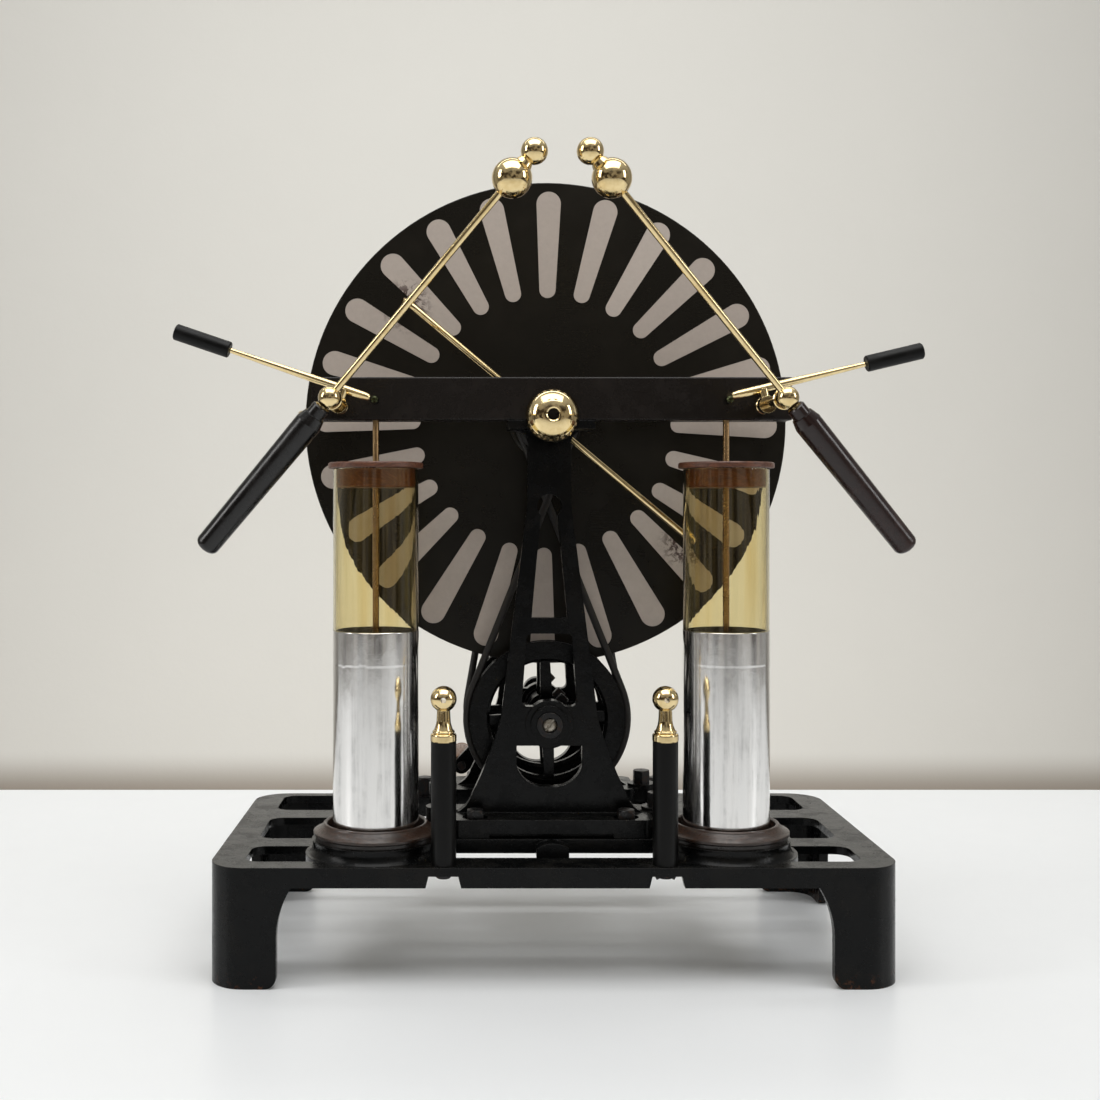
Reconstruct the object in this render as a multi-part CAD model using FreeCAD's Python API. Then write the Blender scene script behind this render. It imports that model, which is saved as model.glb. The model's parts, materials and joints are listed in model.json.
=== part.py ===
import FreeCAD, Part

import math
import os

from FreeCAD import Vector

# A hand-cranked electrostatic machine with two counter-rotating sectored discs.
# Millimetres. +Z is up, +X is the operator's right and -Y is the front, where the spark balls are.
# The origin is on the table, under the middle of the base.

# Base casting
base_length = 518.0
base_depth = 274.0
base_height = 90.0
base_corner = 28.0
deck_thickness = 6.4
base_wall = 8.0
apron_height = 15.0
leg_width = 52.0
leg_flare = 11.0
leg_flare_share = 0.3
leg_flare_lift = 2.0
leg_straight = 38.0
toe_radius = 9.0
well_half_length = 111.0
well_front = -106.0
well_rear = 107.0
well_corner = 12.0
slot_outer = 234.0
slot_inner = 160.0
slot_spans = ((-117.5, -69.0), (-42.6, 33.0), (64.0, 126.0))
slot_corner = 12.0
slot_wall = 2.5

# Cross rails
rail_height = 10.6
rail_front = 92.0
rail_back = 28.0
rail_half_length = 120.0
rail_notch = 97.0
rail_notch_depth = 32.0
rail_bolt_x = 103.0
rail_bolt_y = 76.0
rail_ear = 18.0
tongue_half_width = 12.5
tongue_crown = 4.0

# Uprights
plate_front = 62.0
plate_back = 52.0
flange_height = 14.4
flange_half_length = 80.0
flange_front = 90.0
flange_back = 30.0
flange_corner = 8.0
relief_half_length = 48.0
relief_height = 3.5
relief_depth = 6.0
ear_bolt_x = 86.5
ear_bolt_y = 48.0
ear_radius = 12.0
ear_pad = 2.5
ear_root = 4.0
toe_bolt_x = 59.0
toe_bolt_y = 78.0
spot_face_radius = 9.8
spot_face_depth = 4.0
foot_half_width = 74.0
shoulder_half_width = 62.0
shoulder_height = 13.5
waist_half_width = 38.5
waist_z = 190.0
neck_half_width = 17.3
neck_z = 360.0
saddle_half_length = 34.0
saddle_height = 6.5
saddle_gusset = 9.0
gusset_bow = 0.22
flare_bow = 0.35
flare_rise = 0.42
calf_bow = 1.8
arch_half_width = 14.3
arch_shoulder = 6.8
arch_bottom_z = 269.5
arch_shoulder_z = 351.0
arch_top_z = 368.0
middle_window = (18.0, 22.0, 199.0, 257.0)
lower_window_half_width = 26.0
lower_window_bottom_z = 135.6
lower_window_side_z = 152.0
lower_window_top_z = 168.0
window_corner = 4.5
knee_share = 0.72
knee_rise = 5.0
bearing_pad_radius = 19.0
bearing_pad_proud = 1.5
lower_boss_radius = 15.0
upper_boss_radius = 17.0
boss_front = 67.0
boss_back = 49.0

# Bolts
bolt_radius = 3.0
hex_across = 13.4
hex_height = 11.0
square_across = 12.5
square_height = 10.0
rail_head_height = 16.5
bolt_end_clearance = 1.2
crown_slope = 1.2

# Drive
drive_z = 185.0
shaft_radius = 6.0
shaft_front = 66.0
shaft_chamfer = 0.6
bush_radius = 10.0
bush_front = 69.0
bush_back = 45.0
running_clearance = 0.05
screw_head_inset = 0.4
screw_head_radius = shaft_radius - screw_head_inset
screw_head_height = 1.8
screw_slot = 1.4
screw_slot_turn = 35.0
belt_plane = 28.0
belt_radius = 3.0
belt_clearance = 0.35
grip_end_clearance = 0.35
spigot_end_clearance = 0.35
drive_pitch_radius = 65.7
rim_depth = 2.2
hub_flange = 1.6
wheel_width = 12.0
wheel_rim_width = 16.4
wheel_web = 5.0
rim_slope = 2.0
spoke_count = 4
spoke_turn = 2.0
spoke_root_width = 11.0
spoke_tip_width = 8.0
hub_radius = 14.0
hub_length = 26.0
set_screw_radius = 2.5
set_screw_across = 8.4
set_screw_head = 8.0
screw_inset = 4.0
screw_angle = 45.0
screw_seat = 0.6
screw_sunk = 0.5

# Crank
crank_throw = 100.0
crank_angle = 225.0
crank_gap = 5.0
crank_thickness = 8.0
crank_hub_radius = 12.5
crank_hub_length = 13.0
crank_root_width = 19.0
crank_tip_width = 15.0
grip_length = 69.0
grip_radius = 11.5
grip_neck_radius = 8.5
grip_bead = 4.0
pin_radius = 4.0
pin_head_radius = 6.5
pin_head_height = 2.0

# Discs
axle_z = 427.7
axle_radius = 5.0
disc_radius = 200.0
disc_thickness = 3.0
disc_face = 7.5
disc_bore = 12.0
sector_count = 24
sector_thickness = 0.4
sector_phase = 0.8
sector_inner = 104.0
sector_outer = 192.5
sector_inner_width = 13.5
sector_outer_width = 20.3
hub_pitch_radius = 24.0
hub_flange_radius = 30.0
hub_flange_thickness = 3.5
hub_barrel_radius = 17.0
hub_end_taper = 4.0
pulley_width = 10.0
spigot_radius = 9.0
spigot_gap = 1.0
hub_end = 37.0

# Neutralisers
neutralizer_y = 44.0
neutralizer_angle = 140.0
neutralizer_reach = 152.0
neutralizer_radius = 2.6
neutralizer_bend = 12.0
neutralizer_hub_radius = 11.0
neutralizer_hub_length = 9.0
tip_ball_radius = 3.6
tip_ball_gap = 4.2
brush_root_radius = 1.1
brush_fan_radius = 2.6
brush_gap = 0.4
brush_sunk = 0.6

# Axle fittings
knob_radius = 20.6
knob_shoulder = (0.76, 0.68)
knob_rim = 9.0
knob_depth = 24.0
knob_bore = 4.5
knob_flutes = 56
flute_radius = 0.65
axle_front = 106.0
nut_radius = 12.0
nut_height = 10.0
nut_dome = 3.0

# Insulating cross bar
bar_half_length = 185.5
bar_bottom_z = 424.7
bar_height = 33.2
bar_front = 92.0
bar_back = 67.0
bar_chamfer = 0.8

# Conductors and collectors
stem_x = 163.6
stem_z = 435.5
stem_radius = 3.2
stem_spigot_radius = 3.0
stem_ring_radius = 8.0
stem_ring = (160.5, 163.0)
stem_nut_radius = 6.5
stem_nut_height = 4.0
joint_y = -173.0
joint_ball_radius = 8.3
spigot_reach = 4.1
comb_y = 22.0
comb_radius = 1.8
comb_inner = 110.0
comb_outer = 204.0
comb_bend = 14.0
comb_ball_radius = 3.4
stem_ball_radius = 5.5
pin_count = 11
pin_tip_radius = 0.3
pin_root_radius = 0.8
pin_gap = 2.0

# Discharge arms
arm_tilt = 49.0
arm_lean = 10.1
arm_radius = 2.7
arm_length = 200.0
big_ball_radius = 14.0
small_ball_radius = 9.4
ball_spacing = 23.6
ball_neck_radius = 5.0
ball_neck_taper = 1.5
collar_start = 8.6
collar_end = 17.0
collar_radius = 6.8
handle_end = 146.0
handle_radius = 10.0
handle_tip_radius = 8.9
handle_shoulder = 7.0
handle_round = 5.0
handle_bore_depth = 24.0

# Jar switch levers
lever_y = -104.0
lever_offset = 12.8
lever_slope = {"left": 18.8, "right": 13.4}
lever_reach = {"left": 136.0, "right": 125.0}
lever_tip = {"left": 20.8, "right": 24.2}
lever_radius = 3.2
lever_thin_radius = 1.9
lever_point_length = 5.0
lever_point_radius = 2.0
lever_collar_radius = 6.6
lever_collar_length = 10.0
lever_post_radius = 3.6
lever_handle_length = 44.0
lever_handle_radius = 6.3
lever_handle_edge = 0.8

# Leyden jars
jar_x = 136.5
jar_y = -82.0
jar_radius = 33.2
jar_wall = 2.2
jar_floor = 3.0
jar_bottom_z = 104.0
jar_top_z = 387.5
foil_thickness = 0.4
foil_top_z = 262.0
lid_overhang = 3.8
lid_radius = jar_radius + lid_overhang
lid_height = 4.6
plug_depth = 15.0
plug_clearance = 0.3
jar_rod_radius = 2.5
jar_rod_foot_radius = 8.0
jar_rod_foot_height = 2.0
jar_rod_top_z = 446.0
stud_z = 440.0
stud_radius = 2.7
stud_front = -101.3
ring_gap = 4.5
ring_width = 10.6
ring_height = 12.4
ring_rim_radius = jar_radius + ring_gap
ring_radius = ring_rim_radius + ring_width
boss_ledge = 1.2
boss_flare = 2.5
boss_top_radius = ring_radius + boss_ledge
boss_radius = boss_top_radius + boss_flare
boss_hollow = 1.0
boss_hollow_height = 0.3

# Terminals of the outer foils
terminal_x = 83.0
terminal_y = -126.0
post_radius = 9.5
post_height = 92.0
head_flange_radius = 9.8
head_neck_radius = 5.1
head_ball_radius = 9.8
head_ball_height = 31.8
lead_bore_radius = 2.0
terminal_stud_radius = 2.5
notch_half_width = 11.0
notch_taper = 2.5
terminal_nut_radius = 6.4
terminal_nut_height = 3.6
wing_span = 8.6
wing_height = 5.0
wing_thickness = 1.6

deck_z = base_height
rail_top_z = deck_z + rail_height
flange_top_z = rail_top_z + flange_height
spot_face_z = flange_top_z - spot_face_depth
bar_top_z = bar_bottom_z + bar_height
groove_radius = belt_radius + belt_clearance
crank_y = base_depth / 2 + crank_gap
cut_past = 1.0  # how far a cutter runs past the face it cuts
soft_edge = 1.0  # chamfer on turned corners
fine_edge = 0.6  # chamfer on small turned corners
signs = (-1, 1)
sides = (("left", -1), ("right", 1))


def plan(z):
    return lambda x, y: Vector(x, y, z)


def front(y):
    return lambda x, z: Vector(x, y, z)


def side(x):
    return lambda y, z: Vector(x, y, z)


def outline(place, start, *moves):
    """Closed wire. A move is the end of a line, or a pair of points: the middle and end of an arc."""
    first = here = place(*start)
    edges = []
    for move in moves:
        if isinstance(move[0], tuple):
            middle, end = place(*move[0]), place(*move[1])
            edges.append(Part.Arc(here, middle, end).toShape())
        else:
            end = place(*move)
            edges.append(Part.makeLine(here, end))
        here = end
    if here.distanceToPoint(first) > 1e-6:
        edges.append(Part.makeLine(here, first))
    return Part.Wire(edges)


def rounded(place, corners, radius):
    """Closed wire through the corners, each one rounded by the radius."""
    moves = []
    count = len(corners)
    for i, corner in enumerate(corners):
        point = Vector(*corner, 0)
        back = (Vector(*corners[i - 1], 0) - point).normalize()
        ahead = (Vector(*corners[(i + 1) % count], 0) - point).normalize()
        half = back.getAngle(ahead) / 2
        reach = radius / math.tan(half)
        centre = point + (back + ahead).normalize() * (radius / math.sin(half))
        middle = centre + (point - centre).normalize() * radius
        enter, leave = point + back * reach, point + ahead * reach
        moves.append((enter.x, enter.y))
        moves.append(((middle.x, middle.y), (leave.x, leave.y)))
    return outline(place, moves[-1][1], *moves)


def slab(wire, thickness):
    return Part.Face(wire).extrude(thickness)


def block(x, y, z):
    """Box between the two ends of each (low, high) pair."""
    return Part.makeBox(x[1] - x[0], y[1] - y[0], z[1] - z[0], Vector(x[0], y[0], z[0]))


def rod(start, end, radius):
    run = end - start
    return Part.makeCylinder(radius, run.Length, start, run)


def cone(start, end, start_radius, end_radius):
    run = end - start
    return Part.makeCone(start_radius, end_radius, run.Length, start, run)


def turned(origin, direction, start, *moves):
    """Solid turned from a (radius, distance along) profile about a line through the origin."""
    wire = outline(front(0), start, *moves)
    shape = Part.Face(wire).revolve(Vector(0, 0, 0), Vector(0, 0, 1), 360)
    shape.Placement = FreeCAD.Placement(origin, FreeCAD.Rotation(Vector(0, 0, 1), direction))
    return shape


def ball(centre, radius):
    return Part.makeSphere(radius, centre)


def prism_head(centre, direction, across, height, flats):
    """Bolt head with the given number of flats, its base at the centre."""
    corner = across / 2 / math.cos(math.pi / flats)
    turn = math.pi / flats
    points = [
        Vector(corner * math.cos(turn + i * 2 * turn), corner * math.sin(turn + i * 2 * turn), 0)
        for i in range(flats)
    ]
    head = slab(Part.makePolygon(points + points[:1]), Vector(0, 0, height))
    crown_height = (corner - across / 2) * crown_slope
    crown = Part.makeCone(corner, across / 2, crown_height, Vector(0, 0, height - crown_height))
    barrel = Part.makeCylinder(corner, height - crown_height)
    head = head.common(barrel.fuse(crown))
    head.Placement = FreeCAD.Placement(centre, FreeCAD.Rotation(Vector(0, 0, 1), direction))
    return head


def bent_rod(points, radius, bend):
    """Round rod through the points, with each corner bent to the given radius."""
    edges = []
    here = points[0]
    for i in range(1, len(points) - 1):
        back = (points[i - 1] - points[i]).normalize()
        ahead = (points[i + 1] - points[i]).normalize()
        half = back.getAngle(ahead) / 2
        enter = points[i] + back * (bend / math.tan(half))
        leave = points[i] + ahead * (bend / math.tan(half))
        centre = points[i] + (back + ahead).normalize() * (bend / math.sin(half))
        middle = centre + (points[i] - centre).normalize() * bend
        edges += [Part.makeLine(here, enter), Part.Arc(enter, middle, leave).toShape()]
        here = leave
    edges.append(Part.makeLine(here, points[-1]))
    section = Part.Wire(Part.makeCircle(radius, points[0], points[1] - points[0]))
    return Part.Wire(edges).makePipeShell([section], True, True)


def fused(first, *others):
    return first.fuse(list(others)).removeSplitter()


def mirror_y(shape):
    return shape.mirror(Vector(0, 0, 0), Vector(0, 1, 0))


def around_axle(shape, z, degrees):
    """Copy turned about the line through (0, z) along Y, clockwise as seen from the front."""
    copy = shape.copy()
    copy.rotate(Vector(0, 0, z), Vector(0, 1, 0), degrees)
    return copy


def radial(degrees):
    """Unit vector in the front view, counted from +X towards +Z."""
    return Vector(math.cos(math.radians(degrees)), 0, math.sin(math.radians(degrees)))


# Stand


def base_body():
    def rounded_box(inset, low, high):
        x, y = base_length / 2 - inset, base_depth / 2 - inset
        corners = [(-x, -y), (x, -y), (x, y), (-x, y)]
        return slab(rounded(plan(low), corners, base_corner - inset), Vector(0, 0, high - low))

    return rounded_box(0, 0, deck_z).cut(rounded_box(base_wall, -cut_past, deck_z - deck_thickness))


def leg_gap(place, half, run):
    """Opening between two legs, with a flared top and rounded toes."""
    foot = half - leg_width
    top = foot - leg_flare
    apron_z = deck_z - apron_height
    middle = (foot - leg_flare * leg_flare_share, (leg_straight + apron_z) / 2 + leg_flare_lift)
    toe = toe_radius * (1 - math.sqrt(0.5))
    right = [
        (foot, leg_straight),
        (foot, toe_radius),
        ((foot + toe, toe), (foot + toe_radius, 0)),
        (foot + toe_radius, -cut_past),
    ]
    left = [
        (-foot - toe_radius, -cut_past),
        (-foot - toe_radius, 0),
        ((-foot - toe, toe), (-foot, toe_radius)),
        (-foot, leg_straight),
        ((-middle[0], middle[1]), (-top, apron_z)),
    ]
    return slab(outline(place, (top, apron_z), (middle, right[0]), *right[1:], *left), run)


def post_notch(sign):
    """Gap in the apron under a terminal, for its nut."""
    wide, narrow = notch_half_width + notch_taper, notch_half_width
    apron_z, roof = deck_z - apron_height - cut_past, deck_z - deck_thickness
    x = sign * terminal_x
    corners = [(x - wide, apron_z), (x - narrow, roof), (x + narrow, roof), (x + wide, apron_z)]
    run = Vector(0, base_wall + 2 * cut_past, 0)
    return slab(outline(front(-base_depth / 2 - cut_past), *corners), run)


def jar_boss(sign):
    skirt = (boss_radius + boss_top_radius) / 2 - boss_hollow
    return turned(
        Vector(sign * jar_x, jar_y, 0),
        Vector(0, 0, 1),
        (0, deck_z - deck_thickness),
        (boss_radius, deck_z - deck_thickness),
        (boss_radius, deck_z),
        ((skirt, deck_z + rail_height * boss_hollow_height), (boss_top_radius, rail_top_z)),
        (0, rail_top_z),
    )


def deck_slot(sign, span):
    inner = slot_inner if span[0] < 0 else slot_inner - 2 * slot_corner
    corners = [(inner, span[0]), (slot_outer, span[0]), (slot_outer, span[1]), (inner, span[1])]
    corners = [(sign * x, y) for x, y in corners][::sign]
    return slab(rounded(plan(0), corners, slot_corner), Vector(0, 0, 2 * deck_z))


def rail_ears():
    """Lugs in the well that the ends of the cross rails are bolted to."""
    z = (deck_z - deck_thickness, deck_z)
    ears = []
    for sign in signs:
        inner, outer = sorted((sign * (well_half_length - rail_ear), sign * (well_half_length + cut_past)))
        ears.append(block((inner, outer), (rail_bolt_y - rail_ear / 2, rail_bolt_y + rail_ear / 2), z))
        inner, outer = sorted((sign * (ear_bolt_x - rail_ear / 2), sign * (well_half_length + cut_past)))
        ears.append(block((inner, outer), (-ear_bolt_y - rail_ear / 2, -ear_bolt_y + rail_ear / 2), z))
    return ears


def base_casting():
    body = base_body()
    body = body.cut(leg_gap(front(-base_depth), base_length / 2, Vector(0, 2 * base_depth, 0)))
    body = body.cut(leg_gap(side(-base_length), base_depth / 2, Vector(2 * base_length, 0, 0)))
    well = [
        (-well_half_length, well_front),
        (well_half_length, well_front),
        (well_half_length, well_rear),
        (-well_half_length, well_rear),
    ]
    body = body.cut(slab(rounded(plan(0), well, well_corner), Vector(0, 0, 2 * deck_z)))
    body = fused(body, *rail_ears())
    for sign in signs:
        slots = [deck_slot(sign, span) for span in slot_spans]
        margin = Part.makeCylinder(boss_radius + slot_wall, 2 * deck_z, Vector(sign * jar_x, jar_y, 0))
        body = body.cut([slot.cut(margin) for slot in slots] + [post_notch(sign)])
        body = fused(body, jar_boss(sign))
        stud = Vector(sign * terminal_x, terminal_y, 0)
        body = body.cut(Part.makeCylinder(terminal_stud_radius, 2 * deck_z, stud))
        bolts = [(rail_bolt_x, rail_bolt_y), (ear_bolt_x, -ear_bolt_y)]
        for x, y in bolts:
            body = body.cut(Part.makeCylinder(bolt_radius, 2 * deck_z, Vector(sign * x, y, 0)))
    return body


def bolt_hole(x, y, low, high):
    return Part.makeCylinder(bolt_radius, high - low + 2 * cut_past, Vector(x, y, low - cut_past))


def rear_cross_rail():
    body = block((-rail_half_length, rail_half_length), (rail_back, rail_front), (deck_z, rail_top_z))
    for sign in signs:
        low, high = sorted((sign * rail_notch, sign * (rail_half_length + cut_past)))
        notch = (rail_back - cut_past, rail_back + rail_notch_depth)
        body = body.cut(block((low, high), notch, (deck_z - cut_past, rail_top_z + cut_past)))
        holes = [(rail_bolt_x, rail_bolt_y), (ear_bolt_x, ear_bolt_y), (toe_bolt_x, toe_bolt_y)]
        for x, y in holes:
            body = body.cut(bolt_hole(sign * x, y, deck_z, rail_top_z))
    return body


def front_cross_rail():
    rail = (-rail_front, -rail_back)
    body = block((-rail_half_length, rail_half_length), rail, (deck_z, rail_top_z))
    shoulder_z = rail_top_z - tongue_crown
    tongue = outline(
        front(well_front),
        (-tongue_half_width, deck_z),
        (-tongue_half_width, shoulder_z),
        ((0, rail_top_z), (tongue_half_width, shoulder_z)),
        (tongue_half_width, deck_z),
    )
    body = fused(body, slab(tongue, Vector(0, -well_front - rail_front + cut_past, 0)))
    for sign in signs:
        boss = Part.makeCylinder(boss_radius, 2 * rail_height, Vector(sign * jar_x, jar_y, deck_z - cut_past))
        body = body.cut(boss)
        for x, y in [(ear_bolt_x, ear_bolt_y), (toe_bolt_x, toe_bolt_y)]:
            body = body.cut(bolt_hole(sign * x, -y, deck_z, rail_top_z))
    return body


def rail_bolts():
    """Two tall square-headed bolts through the rear rail."""
    shapes = []
    for sign in signs:
        top = Vector(sign * rail_bolt_x, rail_bolt_y, rail_top_z)
        head = prism_head(top, Vector(0, 0, 1), square_across, rail_head_height, 4)
        end = top - Vector(0, 0, rail_height + deck_thickness - bolt_end_clearance)
        shapes.append(fused(head, rod(end, top, bolt_radius)))
    return Part.makeCompound(shapes)


def upright_windows():
    depth = Vector(0, plate_front, 0)
    place = front(-plate_front - bearing_pad_proud - cut_past)
    arch = outline(
        place,
        (-arch_half_width, arch_bottom_z),
        (arch_half_width, arch_bottom_z),
        (arch_shoulder, arch_shoulder_z),
        ((0, arch_top_z), (-arch_shoulder, arch_shoulder_z)),
    )
    top_half, bottom_half, bottom_z, top_z = middle_window
    corners = [(-bottom_half, bottom_z), (bottom_half, bottom_z), (top_half, top_z), (-top_half, top_z)]
    middle = slab(rounded(place, corners, window_corner), depth)
    side_x = lower_window_half_width
    knee = (side_x * knee_share, lower_window_bottom_z + knee_rise)
    lower = outline(
        place,
        (side_x, lower_window_top_z),
        (side_x, lower_window_side_z),
        (knee, (0, lower_window_bottom_z)),
        ((-knee[0], knee[1]), (-side_x, lower_window_side_z)),
        (-side_x, lower_window_top_z),
    )
    pad = rod(Vector(0, -2 * plate_front, drive_z), Vector(0, 0, drive_z), bearing_pad_radius)
    return [slab(arch, depth), middle.cut(pad), slab(lower, depth).cut(pad)]


def upright_plate():
    """Tapered web: one half drawn from the middle line outwards, then mirrored."""
    shoulder_z = flange_top_z + shoulder_height
    flare_x = shoulder_half_width + (foot_half_width - shoulder_half_width) * flare_bow
    flare = (flare_x, flange_top_z + shoulder_height * flare_rise)
    calf = ((shoulder_half_width + waist_half_width) / 2 - calf_bow, (shoulder_z + waist_z) / 2)
    gusset_z = bar_bottom_z - saddle_height
    gusset = (neck_half_width + saddle_gusset * gusset_bow, gusset_z - saddle_gusset * gusset_bow * 2)
    wire = outline(
        front(-plate_front),
        (0, flange_top_z),
        (foot_half_width, flange_top_z),
        (flare, (shoulder_half_width, shoulder_z)),
        (calf, (waist_half_width, waist_z)),
        (neck_half_width, neck_z),
        (neck_half_width, gusset_z - 1.5 * saddle_gusset),
        (gusset, (neck_half_width + saddle_gusset, gusset_z)),
        (upper_boss_radius, gusset_z),
        (upper_boss_radius, axle_z),
        (0, axle_z),
    )
    half = slab(wire, Vector(0, plate_front - plate_back, 0))
    return fused(half, half.mirror(Vector(0, 0, 0), Vector(1, 0, 0)))


def upright_foot():
    z, rise = rail_top_z, Vector(0, 0, flange_height)
    x = flange_half_length
    corners = [(-x, -flange_front), (x, -flange_front), (x, -flange_back), (-x, -flange_back)]
    foot = slab(rounded(plan(z), corners, flange_corner), rise)
    relief = (-flange_front - cut_past, -flange_front + relief_depth)
    relief_z = (z - cut_past, z + relief_height)
    foot = foot.cut(block((-relief_half_length, relief_half_length), relief, relief_z))
    for sign in signs:
        ear = Vector(sign * ear_bolt_x, -ear_bolt_y, z)
        low, high = sorted((sign * (x - ear_root), sign * ear_bolt_x))
        web = block((low, high), (-ear_bolt_y - ear_radius, -ear_bolt_y + ear_radius), (z, flange_top_z))
        foot = fused(foot, web, Part.makeCylinder(ear_radius, flange_height + ear_pad, ear))
        spot = Vector(sign * toe_bolt_x, -toe_bolt_y, spot_face_z)
        foot = foot.cut(Part.makeCylinder(spot_face_radius, 2 * spot_face_depth, spot))
    return foot


def upright(has_saddle):
    """Front upright. Only the front one has the ledge that the insulating bar rests on."""
    body = fused(upright_plate(), upright_foot())
    pad = bearing_pad_proud
    centre = Vector(0, -plate_front - pad, drive_z)
    body = fused(body, rod(centre, Vector(0, -plate_back + pad, drive_z), bearing_pad_radius))
    body = body.cut(upright_windows())
    lower = rod(Vector(0, -boss_front, drive_z), Vector(0, -boss_back, drive_z), lower_boss_radius)
    upper = rod(Vector(0, -boss_front, axle_z), Vector(0, -boss_back, axle_z), upper_boss_radius)
    body = fused(body, lower, upper)
    if has_saddle:
        ledge_z = (bar_bottom_z - saddle_height, bar_bottom_z)
        ledge = block((-saddle_half_length, saddle_half_length), (-bar_front, -plate_back), ledge_z)
        body = fused(body, ledge)
    cut_y = (Vector(0, -2 * bar_front, 0), Vector(0, 0, 0))
    for z, radius in ((drive_z, bush_radius), (axle_z, axle_radius)):
        lift = Vector(0, 0, z)
        body = body.cut(rod(cut_y[0] + lift, cut_y[1] + lift, radius))
    for sign in signs:
        for x, y in ((ear_bolt_x, ear_bolt_y), (toe_bolt_x, toe_bolt_y)):
            body = body.cut(bolt_hole(sign * x, -y, rail_top_z, flange_top_z + ear_pad))
    return body


def upright_bolts():
    """Hexagon heads on the ears and square heads on the toes, front and rear."""
    shapes = []
    for sign in signs:
        for end in signs:
            ear = Vector(sign * ear_bolt_x, end * ear_bolt_y, flange_top_z + ear_pad)
            toe = Vector(sign * toe_bolt_x, end * toe_bolt_y, spot_face_z)
            hexagon = prism_head(ear, Vector(0, 0, 1), hex_across, hex_height, 6)
            square = prism_head(toe, Vector(0, 0, 1), square_across, square_height, 4)
            for head, top in ((hexagon, ear), (square, toe)):
                low = Vector(top.x, top.y, deck_z + bolt_end_clearance)
                shapes.append(fused(head, rod(low, top, bolt_radius)))
    return Part.makeCompound(shapes)


# Drive


def shaft_bushes():
    def bush(sign):
        start = Vector(0, sign * bush_front, drive_z)
        end = Vector(0, sign * bush_back, drive_z)
        body = rod(start, end, bush_radius)
        return body.cut(rod(start, end, shaft_radius + running_clearance))

    return Part.makeCompound([bush(-1), bush(1)])


def drive_shaft():
    start = Vector(0, -shaft_front, drive_z)
    end = Vector(0, crank_y + crank_hub_length, drive_z)
    shaft = rod(start, end, shaft_radius)
    return shaft.makeChamfer(shaft_chamfer, [e for e in shaft.Edges if e.Closed])


def shaft_end_screw():
    face = Vector(0, -shaft_front, drive_z)
    head = turned(
        face,
        Vector(0, -1, 0),
        (0, 0),
        (screw_head_radius, 0),
        (screw_head_radius, screw_head_height / 2),
        ((screw_head_radius * 0.8, screw_head_height * 0.86), (0, screw_head_height)),
    )
    low = (-screw_slot / 2, screw_slot / 2)
    slot_y = (-shaft_front - screw_head_height - cut_past, -shaft_front - screw_head_height / 2)
    reach = (-screw_head_radius - cut_past, screw_head_radius + cut_past)
    slot = block(low, slot_y, reach)
    slot.translate(Vector(0, 0, drive_z))
    slot.rotate(face, Vector(0, 1, 0), screw_slot_turn)
    return head.cut(slot)


def drive_wheel(sign):
    """Grooved belt wheel with straight spokes, at the front (-1) or the rear (1)."""
    centre = Vector(0, sign * belt_plane, drive_z)
    rim_radius = drive_pitch_radius - rim_depth
    half = wheel_width / 2
    inner = rim_radius - wheel_rim_width
    web_z = wheel_web / 2
    rim = turned(
        centre,
        Vector(0, 1, 0),
        (inner, -web_z),
        (inner + rim_slope, -half),
        (rim_radius, -half),
        (rim_radius, -groove_radius),
        ((drive_pitch_radius - groove_radius, 0), (rim_radius, groove_radius)),
        (rim_radius, half),
        (inner + rim_slope, half),
        (inner, web_z),
    )
    hub_start = centre - Vector(0, hub_length / 2, 0)
    hub = rod(hub_start, hub_start + Vector(0, hub_length, 0), hub_radius)
    parts = [hub]
    for i in range(spoke_count):
        root, tip = spoke_root_width / 2, spoke_tip_width / 2
        end = inner + rim_slope / 2
        corners = [(0, drive_z - root), (end, drive_z - tip), (end, drive_z + tip), (0, drive_z + root)]
        spoke = slab(outline(front(centre.y - web_z), *corners), Vector(0, wheel_web, 0))
        parts.append(around_axle(spoke, drive_z, -spoke_turn - i * 360 / spoke_count))
    body = fused(rim, *parts)
    reach = Vector(0, hub_length, 0)
    bore = rod(centre - reach, centre + reach, shaft_radius)
    return body.cut(bore).cut(set_screw_hole(wheel_screw(sign)))


def wheel_screw(sign):
    """Place and direction of a wheel's set screw, in the inner part of its hub."""
    y = sign * (belt_plane - hub_length / 2 + screw_inset)
    return Vector(0, y, drive_z), radial(screw_angle + spoke_turn), hub_radius


def crank_screw():
    y = crank_y + crank_hub_length / 2
    return Vector(0, y, drive_z), radial(crank_angle - 180), crank_hub_radius


def set_screw_hole(screw):
    centre, direction, hub = screw
    start = centre + direction * (shaft_radius - screw_sunk)
    return rod(start, centre + direction * (hub + cut_past), set_screw_radius)


def set_screws():
    shapes = []
    for centre, direction, hub in (wheel_screw(-1), wheel_screw(1), crank_screw()):
        start, seat = centre + direction * shaft_radius, centre + direction * (hub + screw_seat)
        head = prism_head(seat, direction, set_screw_across, set_screw_head, 4)
        shapes.append(fused(rod(start, seat, set_screw_radius), head))
    return Part.makeCompound(shapes)


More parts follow.
